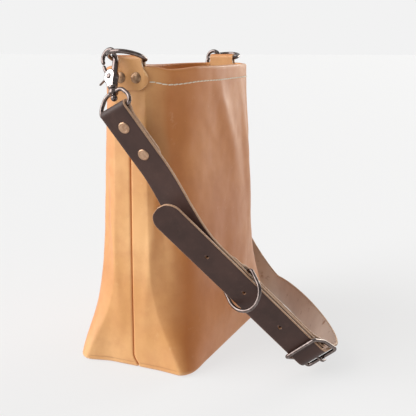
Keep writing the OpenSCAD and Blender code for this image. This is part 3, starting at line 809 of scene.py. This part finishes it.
def seam_stitches():
    """Rows through the turned-in allowances: up both ends and along the base."""
    side_rows, base_rows = Parts(), Parts()
    face_y = LEATHER + 0.1
    for side in (1, -1):
        out = np.array([0, side, 0])
        for end in (1, -1):
            line = [[end * (half_length(z) - END_FLAT - LIP - 4.5), side * face_y, z]
                    for z in np.linspace(24, 266, 60)]
            stitch(np.array(line), np.tile(out, (60, 1)), 4.6, 3.3, 0.45, side_rows)
        run = HALF_LENGTH * 0.62
        line = [[x, side * face_y, LIP + 4.0] for x in np.linspace(-run, run, 60)]
        stitch(np.array(line), np.tile(out, (60, 1)), 4.6, 3.3, 0.45, base_rows)
    for parts, name, node in ((side_rows, "side_seam_stitches", "side_seam_thread"),
                              (base_rows, "base_seam_stitches", "base_seam_thread")):
        belongs(parts.build(name, [THREAD]), "root", node)


# ---- Tabs ----

TAB_WIDTH = 42
TAB_TOP = 30
TAB_DROP = 23
RING_BAR_X = joint_pos("right_ring_hinge")[0]
RING_BAR_Z = joint_pos("right_ring_hinge")[2]
TAB_FOLD_R = LEATHER + GAP + LEATHER / 2  # middle of the tab's leather round the ring's bar
TAB_CORNER = 11


def tab_half_width(z):
    """Half the tab's width at a height: rounded lower corners, then a waist up to the fold."""
    low = HEIGHT - TAB_DROP
    waist = TAB_TOP / 2 + (TAB_WIDTH - TAB_TOP) / 2 * (1 - ease(z, HEIGHT - 11, HEIGHT + 3))
    up = np.clip((np.asarray(z, float) - low) / TAB_CORNER, 0, 1)
    return waist - TAB_CORNER * (1 - np.sqrt(1 - (1 - up) ** 2))


def wall_x(y, stand_off):
    """Distance from the centre to the end wall at the mouth, stood off outward, for a given y."""
    power = sharpness(HEIGHT)
    long = half_length(HEIGHT) + stand_off
    deep = half_depth(HEIGHT) + stand_off
    x = long * (1 - (np.abs(y) / deep) ** power) ** (1 / power)
    return np.minimum(x, long - END_FLAT)


def tab(side, name, node):
    low = HEIGHT - TAB_DROP
    rise_to = np.r_[low + TAB_CORNER * (1 - np.cos(np.linspace(0.02, math.pi / 2, 12))),
                    np.linspace(low + TAB_CORNER, RING_BAR_Z, 14)[1:]]
    across = np.linspace(-1, 1, 37)
    rows = []

    def leg(z, stand_off, fold_x):
        y = across * float(tab_half_width(z))
        follow = 1 - ease(z, HEIGHT - 4, RING_BAR_Z)
        x = wall_x(y, stand_off) * follow + fold_x * (1 - follow)
        return np.column_stack([side * x, y, np.full(len(y), z)])

    for z in rise_to:
        rows.append(leg(z, LEATHER / 2 + GAP, RING_BAR_X + TAB_FOLD_R))
    for a in np.linspace(0, math.pi, 17)[1:-1]:
        x = RING_BAR_X + TAB_FOLD_R * math.cos(a)
        rows.append(np.column_stack([
            np.full(len(across), side * x), across * TAB_TOP / 2,
            np.full(len(across), RING_BAR_Z + TAB_FOLD_R * math.sin(a))]))
    for z in rise_to[::-1]:
        rows.append(leg(z, -2 * LEATHER - GAP - LEATHER / 2, RING_BAR_X - TAB_FOLD_R))
    faces = grid_faces(len(rows), len(across))
    if side < 0:
        faces = [f[::-1] for f in faces]
    obj = make_object(name, np.vstack(rows), faces, [TAN, TAN_BACK, TAN_EDGE])
    thicken(obj, 0.0)
    modify(obj, "BEVEL", width=0.45 * MM, segments=3, limit_method="ANGLE", angle_limit=math.radians(50))
    belongs(obj, "root", node)


# ---- Rivets ----

DOMED_HEAD = [(0, 2.0), (1.4, 1.93), (2.8, 1.68), (4.0, 1.25), (4.9, 0.72), (5.4, 0.30), (5.55, 0.0),
              (5.5, -0.05)]
RINGED_HEAD = [(0, 1.16), (2.3, 1.14), (2.9, 1.10), (3.2, 0.86), (3.5, 0.86), (3.8, 1.14), (4.6, 1.06),
               (5.3, 0.76), (5.75, 0.35), (5.9, 0.02), (5.9, -0.05)]
CAP_HEAD = [(0, 1.55), (1.5, 1.50), (2.9, 1.25), (4.0, 0.85), (4.7, 0.40), (4.95, 0.0), (4.95, -0.05)]


def along_x(m):
    """The frame m turned so that its Z points along the old X."""
    out = m.copy()
    out[:3, 0], out[:3, 1], out[:3, 2] = -m[:3, 2], m[:3, 1], m[:3, 0]
    return out


def rivet_set(places, head, name, node, body, material, grip, shank):
    """Rivet heads and shanks, or caps, at a list of frames whose Z points out of the leather."""
    parts = Parts()
    for place in places:
        profile = list(head)
        if shank:
            profile += [(shank, -0.05), (shank, -grip), (0, -grip)]
        else:
            profile += [(0, -0.05)]
        parts.put(place, lathe(profile[::-1]))
    obj = parts.build(name, [material])
    modify(obj, "SUBSURF", levels=1, render_levels=1)
    belongs(obj, body, node)


def flipped(m):
    """The frame m facing the other way along Z."""
    out = m.copy()
    out[:3, 1], out[:3, 2] = -m[:3, 1], -m[:3, 2]
    return out


def rivets():
    low, high = node_box("tab_rivets")
    head_r, head_rise = 5.9, 1.4
    outside = high[0] - head_rise
    rivet_y = high[1] - head_r
    rivet_z = (low[2] + high[2]) / 2
    heads, caps = [], []
    grip = 4 * LEATHER + 2 * GAP
    for side in (1, -1):
        for y in (rivet_y, -rivet_y):
            place = frame_at([side * outside, y, rivet_z], [0, side, 0], [side, 0, 0])
            heads.append(place)
            caps.append(flipped(shifted(place, 0, 0, -grip)))
    rivet_set(heads, DOMED_HEAD, "tab_rivet_heads", "tab_rivets", "root", BRASS, grip, 2)
    rivet_set(caps, CAP_HEAD, "tab_rivet_backs", "tab_rivet_caps", "root", BRASS, grip, 0)
    heads, caps = [], []
    spots = [(m, EYE_PLY, -z) for z in EYE_RIVETS for m in (left_strap, right_snap)]
    spots += [(buckle, BUCKLE_PLY, z) for z in FOLD_RIVETS]
    grip = 2 * STRAP_THICK + GAP
    for m, ply, z in spots:
        place = along_x(shifted(m, ply + STRAP_THICK / 2, 0, z))
        heads.append(place)
        caps.append(flipped(shifted(place, 0, 0, -grip)))
    rivet_set(heads, RINGED_HEAD, "strap_rivet_heads", "strap_rivets", "strap", COPPER, grip, 2)
    rivet_set(caps, CAP_HEAD, "strap_rivet_backs", "strap_rivet_caps", "strap", COPPER, grip, 0)


# ---- Rings, snaps, buckle and keeper ----


def ring_path(half, leg, corner=3.5):
    """D-ring centreline in the YZ plane: bar on the Y axis, legs and bow above."""
    bow = [[0, half * math.cos(a), leg + half * math.sin(a)] for a in np.linspace(0, math.pi, 41)]
    foot = rounded([bow[-1], [0, -half, 0], [0, half, 0], bow[0]], corner)
    return np.vstack([bow, foot[1:]])


def hardware_piece(parts, name, node, body, materials=None, smooth_levels=1):
    obj = parts.build(name, materials or [HARDWARE])
    if smooth_levels:
        modify(obj, "SUBSURF", levels=smooth_levels, render_levels=smooth_levels)
    belongs(obj, body, node)


RING_HALF = 18.2
RING_LEG = 6
RING_R = 2.2
KEEPER_HALF = 19
KEEPER_LEG = 14
KEEPER_R = 2
KEEPER_LEAN = 40


def d_rings():
    for sign, side, lean in ((-1, "left", 70), (1, "right", 78)):
        place = turned_y(frame_at([sign * RING_BAR_X, 0, RING_BAR_Z], Y, Z), sign * lean)
        path = world(place, ring_path(RING_HALF, RING_LEG))
        parts = Parts()
        parts.add(*tube(path, RING_R, closed=True, up=place[:3, 0]))
        hardware_piece(parts, side + "_d_ring_wire", side + "_d_ring", side + "_ring")


def keeper():
    place = turned_y(shifted(buckle, 0, 0, KEEPER_Z), 180 - KEEPER_LEAN)
    parts = Parts()
    parts.add(*tube(world(place, ring_path(KEEPER_HALF, KEEPER_LEG)), KEEPER_R, closed=True, up=place[:3, 0]))
    hardware_piece(parts, "keeper_wire", "keeper_ring", "keeper")


def circle_arc(centre, radius, start, end, count):
    """Points of an arc in (y, z), angles in degrees from +Y."""
    angles = np.radians(np.linspace(start, end, count))
    return [[centre[0] + radius * math.cos(a), centre[1] + radius * math.sin(a)] for a in angles]


PIN_Z = 36
BOW = (-0.5, 57.5)
SNAP_THICK = 7


def snap_body_outline():
    """Teardrop of the snap body: round at the pivot, drawn in to the swivel neck."""
    round_part = circle_arc((0, PIN_Z), 7.3, -28, 208, 34)
    return round_part + [[-4.9, 29.6], [-4.1, 25.4], [-3.4, 24.2], [3.4, 24.2], [4.1, 25.4], [4.9, 29.6]]


def snap_hook(place, name, node, body):
    parts = Parts()
    body_plate = plate(snap_body_outline(), SNAP_THICK, 1.1)
    parts.put(place, body_plate, [0] * (len(body_plate[1]) - 2) + [1, 1])  # the two flat faces take the lighter metal, a painted reflection
    shank = [[4.2, 37], [6.0, 43], [8.1, 49.5], [8.2, 53.5]]
    bow = circle_arc(BOW, 8.1, -14, 196, 30)
    line = resample(rounded([[0, y, z] for y, z in shank] + [[0, y, z] for y, z in bow], 3), 0.8)
    t = np.linspace(0, 1, len(line))
    width = 3.3 - 1.1 * ease(t, 0.15, 0.5) - 0.25 * ease(t, 0.75, 1)
    parts.add(*tube(world(place, line), width, sides=18, flat=0.92, up=place[:3, 0]))
    profile = [(3.3 * math.sin(a), 13.2 - 3.3 * math.cos(a)) for a in np.linspace(0, math.pi * 0.80, 12)]
    profile += [(2.25, 16.6), (2.25, 23.2), (4.2, 23.3), (4.4, 23.9), (4.4, 25.6), (3.4, 26.6), (0, 26.8)]
    parts.put(place, lathe(profile, 28))
    hardware_piece(parts, name, node, body, [HARDWARE, LIT_FACE_METAL], 0)


def snap_pin(place, name, node, body):
    pin = [(0, 1.35), (1.2, 1.22), (2.2, 0.85), (2.8, 0.35), (2.9, 0.0)]
    pin += [(1.45, -0.01), (1.45, -SNAP_THICK / 2), (0, -SNAP_THICK / 2)]
    parts = Parts()
    for side in (1, -1):
        end = along_x(place) if side > 0 else flipped(along_x(place))
        origin = shifted(place, side * (SNAP_THICK / 2 + 0.02), 0, PIN_Z)[:3, 3]
        end[:3, 3] = origin
        parts.put(end, lathe(pin[::-1], 28))
    hardware_piece(parts, name, node, body, [HARDWARE], 1)


def snap_trigger(place, name, node, body):
    """Gate arm up to the hook's nose, and a thin thumb lever on the other side of the pivot."""
    parts = Parts()
    parts.put(place, plate(circle_arc((0, PIN_Z), 3.1, 0, 345, 24), 3.0, 0.3))
    arm = resample(rounded([[0, -1.6, 37.2], [0, -4.4, 41.5], [0, -7.2, 46.5], [0, -7.9, 50.8]], 3), 0.7)
    t = np.linspace(0, 1, len(arm))
    parts.add(*tube(world(place, arm), 1.5 + 0.35 * np.sin(np.pi * t), sides=14, wide=1.05, up=place[:3, 0]))
    lever = resample(rounded([[0, -1, 35.4], [0, -7, 37.0], [0, -11.5, 36.4], [0, -15.9, 35.0]], 3), 0.6)
    t = np.linspace(0, 1, len(lever))
    parts.add(*tube(world(place, lever), 1.45 - 0.35 * t, sides=14, flat=0.55, wide=1.15, up=place[:3, 1]))
    hardware_piece(parts, name, node, body, [HARDWARE], 0)


def snap_eye(place, name, node, body):
    """Six-sided wire eye under a round boss."""
    half = 17 + EYE_R
    shoulder = [[0, half, 8.5], [0, 10.5, 19.2], [0, -10.5, 19.2], [0, -half, 8.5]]
    corners = [[0, -half, 0], [0, half, 0]] + shoulder
    parts = Parts()
    path = world(place, rounded(corners, 5, closed=True))
    parts.add(*tube(path, EYE_R - 0.05, closed=True, up=place[:3, 0]))
    boss = [(2.5, 17.0), (3.9, 17.0), (4.5, 17.5), (4.8, 18.6), (4.8, 20.2), (4.5, 21.6), (4.0, 22.6)]
    boss.append((2.5, 22.9))
    parts.put(place, lathe(boss + [boss[0]], 32))
    hardware_piece(parts, name, node, body, [HARDWARE], 1)


def snaps():
    for side, place in (("left", left_snap), ("right", right_snap)):
        snap_hook(place, side + "_hook", side + "_snap_hook", side + "_hook")
        snap_pin(place, side + "_pin", side + "_snap_pin", side + "_hook")
        snap_trigger(place, side + "_gate", side + "_snap_trigger", side + "_trigger")
        snap_eye(place, side + "_eye", side + "_snap_eye", side + "_eye")
        spring = frame["nodes"][side + "_snap_spring"]
        spring.data.materials.clear()
        spring.data.materials.append(STEEL)


RAIL_Y = STRAP_WIDTH / 2 + 0.8 + 1.6


def buckle_pieces():
    foot = turned_y(np.eye(4), BUCKLE_BEND)[:3, :3] @ np.array([OUTER_BAR_X, 0, -OUTER_BAR_Z])
    corners = []
    for y in (-RAIL_Y, RAIL_Y):
        run = [[OUTER_BAR_X, y, OUTER_BAR_Z], [0, y, 0], [foot[0], y, foot[2]]]
        corners += run if y > 0 else run[::-1]
    parts = Parts()
    path = world(buckle, rounded(corners, 3.2, closed=True))
    parts.add(*tube(path, BAR_R, closed=True, up=buckle[:3, 1] + 0.01))
    bar = world(buckle, [[0, y, 0] for y in np.linspace(-RAIL_Y, RAIL_Y, 9)])
    parts.add(*tube(bar, BAR_R))
    hardware_piece(parts, "buckle_bars", "buckle_frame", "buckle")

    parts = Parts()
    loop = [[3.3 * math.cos(a), 0, 3.3 * math.sin(a)] for a in np.linspace(0, 2 * math.pi, 33)]
    parts.add(*tube(world(buckle_foot, loop), 1.2, closed=True, wide=1.35, up=buckle_foot[:3, 1]))
    over_bar = OUTER_BAR_X + BAR_R + 1.6
    bends = [[3.4, 0, -1.0], [over_bar, 0, -9.3], [over_bar, 0, -OUTER_BAR_Z - 3]]
    finger = resample(rounded(bends, 5), 0.8)
    t = np.linspace(0, 1, len(finger))
    parts.add(*tube(world(buckle_foot, finger), 1.5 - 0.35 * t, up=buckle_foot[:3, 1]))
    hardware_piece(parts, "prong_finger", "buckle_prong", "prong")


# ---- Straps ----


def bezier(c, t):
    t = np.asarray(t, float)[:, None]
    c = [np.asarray(p, float) for p in c]
    return (1 - t) ** 3 * c[0] + 3 * t * (1 - t) ** 2 * c[1] + 3 * t * t * (1 - t) * c[2] + t ** 3 * c[3]


def planar(m, xz, width_sign=1):
    """Centreline points given in a frame's XZ plane, with the frame's Y as the width direction."""
    points = world(m, [[x, 0, z] for x, z in xz])
    return np.hstack([points, np.tile(width_sign * m[:3, 1], (len(points), 1))])


def curve_run(c, w0, w1, count=60):
    """A freely bending stretch whose width direction turns from w0 to w1."""
    t = np.linspace(0, 1, count)
    turn = (t * t * (3 - 2 * t))[:, None]
    widths = np.asarray(w0, float) * (1 - turn) + np.asarray(w1, float) * turn
    return np.hstack([bezier(c, t), widths])


def arc_xz(radius, start, end, steps=14):
    return circle_arc((0, 0), radius, start, end, steps)


def strap_strip(run, ends, name, node, holes=()):
    """Flat strap along a run of centre points and width directions, with grain, flesh and cut-edge faces."""
    track = resample(run, 1.4)
    points, widths = track[:, :3], track[:, 3:]
    way = unit(np.gradient(points, axis=0))
    widths = unit(widths - np.sum(widths * way, axis=1)[:, None] * way)
    grain = np.cross(way, widths)
    length = np.r_[0, np.cumsum(np.linalg.norm(np.diff(points, axis=0), axis=1))]
    half = np.full(len(points), STRAP_WIDTH / 2)
    to_start, to_end = length, length[-1] - length
    for distance, shape in ((to_start, ends[0]), (to_end, ends[1])):
        half = np.minimum(half, shape(distance))
    t = STRAP_THICK / 2
    soft = 0.75
    columns = np.linspace(-1, 1, 13)
    section = [(c, t, None) for c in columns]
    edge = [(0.72 * t, 0.30), (0.3 * t, 0.0), (-0.3 * t, 0.0), (-0.72 * t, 0.30)]
    section += [(1, lift, back) for lift, back in edge]
    section += [(c, -t, None) for c in columns[::-1]]
    section += [(-1, lift, back) for lift, back in edge[::-1]]
    rows = []
    for p, w, g, h in zip(points, widths, grain, half):
        flat_half = max(h - soft, 0.05)
        ring = []
        for c, lift, back in section:
            across = c * (flat_half if back is None else max(h - back, 0.06))
            ring.append(p + w * across + g * lift)
        rows.append(ring)
    columns_count = len(section)
    faces = grid_faces(len(rows), columns_count, closed=True)
    kinds = [0] * 12 + [2] * 5 + [1] * 12 + [2] * 5
    slots = kinds * (len(rows) - 1)
    last = (len(rows) - 1) * columns_count
    faces += [tuple(range(columns_count - 1, -1, -1)), tuple(range(last, last + columns_count))]
    slots += [2, 2]
    obj = make_object(name, np.array(rows).reshape(-1, 3), faces, [GRAIN, FLESH, STRAP_EDGE], slots)
    for place, radius, deep in holes:
        cut_hole(obj, place, radius, deep)
    belongs(obj, "strap", node)


def cut_hole(obj, place, radius, deep):
    """Punches a round hole along the frame's Z through the strap."""
    profile = [(0, -deep), (radius, -deep), (radius, deep), (0, deep)]
    points, faces = lathe(profile, 24)
    cutter = make_object("cutter", world(place, points), faces, [STRAP_EDGE], smooth=False)
    modifier = modify(obj, "BOOLEAN", operation="DIFFERENCE", object=cutter, solver="EXACT")
    bpy.context.view_layer.objects.active = obj
    with bpy.context.temp_override(object=obj, active_object=obj, selected_objects=[obj]):
        bpy.ops.object.modifier_apply(modifier=modifier.name)
    bpy.data.objects.remove(cutter)


def round_end(distance):
    r = STRAP_WIDTH / 2
    d = np.clip(distance, 0, r)
    return np.where(distance < r, np.sqrt(np.maximum(r * r - (r - d) ** 2, 0.01)), r)


def blunt_end(distance):
    """Tail tip: a short straight nose with well rounded shoulders."""
    nose, shoulder = 7.0, 15.0
    d = np.clip(distance, 0, shoulder)
    grow = (STRAP_WIDTH / 2 - nose) * (1 - (1 - d / shoulder) ** 2.2)
    start = nose * np.sqrt(np.clip(1 - (1 - np.clip(distance, 0, 3.5) / 3.5) ** 2, 0.0004, 1))
    return np.minimum(start + grow, STRAP_WIDTH / 2)


def eye_fold(m, width_sign):
    """From the outer ply below an eye, up and over its bar, and down the inner ply to the end."""
    inner = EYE_R - STRAP_THICK / 2 + 0.05  # the inner ply lies flat against the outer one
    pinch = 12
    down = [(inner - 0.05, -z) for z in np.linspace(pinch, FOLD_END + STRAP_WIDTH / 2, 24)]
    over = arc_xz(EYE_PLY, 0, 180)
    closing = np.linspace(1, pinch - 1, 9)
    ease_in = [(-EYE_PLY + (inner + EYE_PLY - 0.05) * float(ease(z, 0, pinch)), -z) for z in closing]
    return planar(m, over + ease_in + down, width_sign)


def short_strap():
    base = planar(left_strap, [(EYE_PLY, -FOLD_END - 14), (EYE_PLY, -1)])
    fold = eye_fold(left_strap, 1)
    start = np.vstack([fold[::-1], base[::-1]])
    p0 = world(left_strap, [[EYE_PLY, 0, -FOLD_END - 14]])[0]
    p1 = world(buckle, [[BUCKLE_PLY, 0, DOUBLED_END + 20]])[0]
    d0, d1 = -left_strap[:3, 2], -buckle[:3, 2]
    middle = curve_run([p0, p0 + 35 * d0, p1 - 35 * d1, p1], left_strap[:3, 1], buckle[:3, 1], 40)
    back = BAR_R - STRAP_THICK / 2
    low = [(BUCKLE_PLY, DOUBLED_END + 19), (BUCKLE_PLY, 1)]
    under = arc_xz(BUCKLE_PLY, 0, -180)
    bulge = []
    for z in np.linspace(1, DOUBLED_END + STRAP_WIDTH / 2, 90):
        near_bar = 1 - float(ease(z, 0, 15))
        near_keeper = 1 - float(ease(abs(z - KEEPER_Z), 3, 11))
        out = max(near_bar, near_keeper)
        bulge.append((back - (back + BUCKLE_PLY) * out, z))
    end = planar(buckle, low + under + bulge)
    run = np.vstack([start, middle[1:-1], end])
    strap_strip(run, (round_end, round_end), "short_strap_leather", "short_strap")


def long_strap():
    tail = planar(buckle, [(TAIL_PLY, TAIL_LENGTH), (TAIL_PLY, 1)] + arc_xz(TAIL_PLY, 0, -BUCKLE_BEND, 8))
    foot = planar(buckle_foot, [(TAIL_PLY, -1), (TAIL_PLY, -FOOT_RUN)])
    start = world(buckle_foot, [[TAIL_PLY, 0, -FOOT_RUN]])[0]
    d0 = -buckle_foot[:3, 2]
    corner = np.array([134, -74, STRAP_WIDTH / 2 + 1.2])
    corner_way = np.array([0.62, 0.78, 0.0])
    upright = [0.05, -0.1, 1]
    to = world(right_snap, [[EYE_PLY, 0, -FOLD_END - 14]])[0]
    along_floor = [start, start + 20 * d0, corner - 58 * corner_way, corner]
    floor_run = curve_run(along_floor, buckle[:3, 1], upright, 90)
    climb = curve_run([corner, corner + 42 * corner_way, to + [2, -4, -90], to], upright, -Y, 90)
    last = planar(right_snap, [(EYE_PLY, -FOLD_END - 13), (EYE_PLY, -1)], -1)
    run = np.vstack([tail, foot, floor_run[1:], climb[1:-1], last, eye_fold(right_snap, -1)])
    holes = [(along_x(shifted(buckle, TAIL_PLY, 0, k * HOLE_PITCH - 8)), HOLE_SIZE / 2, 4) for k in (1, 2, 3)]
    holes.append((along_x(shifted(buckle_foot, TAIL_PLY, 0, -6)), HOLE_SIZE / 2 + 0.3, 4))
    strap_strip(run, (blunt_end, round_end), "long_strap_leather", "long_strap", holes)


# ---- Stage: floor, light and camera ----

CAMERA_AT = (-0.7182, -0.3515, 0.3264)
CAMERA_WAY = (0.891, 0.397, -0.219)
LENS = 60.6
BACKDROP = rgb(242, 242, 242)
FLOOR_REACH = 60.0
FLOOR_DROP = 0.0002  # metres under the bag, so that the floor and the base don't share a plane
SUNS = (  # name, strength, width in degrees, colour, direction towards it
    ("key", 3.5, 60, (1, 1, 1), (-0.55, 0.78, 0.46)),
    ("fill", 1.3, 30, (1.0, 0.97, 0.88), (0.92, -0.30, 0.24)))


def stage():
    mesh = bpy.data.meshes.new("floor")
    corners = [(-FLOOR_REACH, -FLOOR_REACH), (FLOOR_REACH, -FLOOR_REACH), (FLOOR_REACH, FLOOR_REACH),
               (-FLOOR_REACH, FLOOR_REACH)]
    mesh.from_pydata([(x, y, -FLOOR_DROP) for x, y in corners], [], [(0, 1, 2, 3)])
    floor = bpy.data.objects.new("floor", mesh)
    bpy.context.scene.collection.objects.link(floor)
    s = Shader("floor_paper")
    s.set(Base_Color=(0.20, 0.20, 0.20, 1), Roughness=0.9, Specular_IOR_Level=0.1,
          Normal=s.bump(s.noise(900, 3), 0.02, 0.3), Emission_Color=(1, 1, 1, 1), Emission_Strength=0.66)
    mesh.materials.append(s.material)

    studio = bpy.data.worlds.new("studio")
    bpy.context.scene.world = studio
    studio.use_nodes = True
    tree = studio.node_tree
    tree.nodes.clear()
    make, link = tree.nodes.new, tree.links.new
    out = make("ShaderNodeOutputWorld")
    seen = make("ShaderNodeBackground")
    seen.inputs["Color"].default_value = BACKDROP
    lit = make("ShaderNodeBackground")
    bright_way = make("ShaderNodeVectorMath")
    bright_way.operation = "DOT_PRODUCT"
    bright_way.inputs[1].default_value = Vector((0.30, 0.60, 0.75)).normalized()
    link(make("ShaderNodeTexCoord").outputs["Generated"], bright_way.inputs[0])
    glow = make("ShaderNodeMapRange")
    set_range(glow, -0.8, 0.9, 0.10, 0.80)
    link(bright_way.outputs["Value"], glow.inputs["Value"])
    link(glow.outputs["Result"], lit.inputs["Strength"])
    choose = make("ShaderNodeMixShader")
    link(make("ShaderNodeLightPath").outputs["Is Camera Ray"], choose.inputs["Fac"])
    link(lit.outputs["Background"], choose.inputs[1])
    link(seen.outputs["Background"], choose.inputs[2])
    link(choose.outputs["Shader"], out.inputs["Surface"])

    for name, strength, width, colour, way in SUNS:
        sun = bpy.data.lights.new(name, "SUN")
        sun.energy, sun.angle, sun.color = strength, math.radians(width), colour
        lamp = bpy.data.objects.new(name, sun)
        lamp.rotation_euler = Vector(way).to_track_quat("Z", "Y").to_euler()
        bpy.context.scene.collection.objects.link(lamp)

    camera = bpy.data.cameras.new("camera")
    camera.lens = LENS
    camera.sensor_width = 36
    camera.clip_start, camera.clip_end = 0.01, 200
    holder = bpy.data.objects.new("camera", camera)
    holder.location = CAMERA_AT
    holder.rotation_euler = Vector(CAMERA_WAY).to_track_quat("-Z", "Y").to_euler()
    bpy.context.scene.collection.objects.link(holder)
    bpy.context.scene.camera = holder
    bpy.context.scene.view_settings.view_transform = "Standard"


leather_panel(True)
leather_panel(False)
hem_stitches()
seam_stitches()
tab(-1, "left_tab_leather", "left_tab")
tab(1, "right_tab_leather", "right_tab")
rivets()
d_rings()
snaps()
buckle_pieces()
keeper()
short_strap()
long_strap()
stage()

bpy.context.view_layer.update()
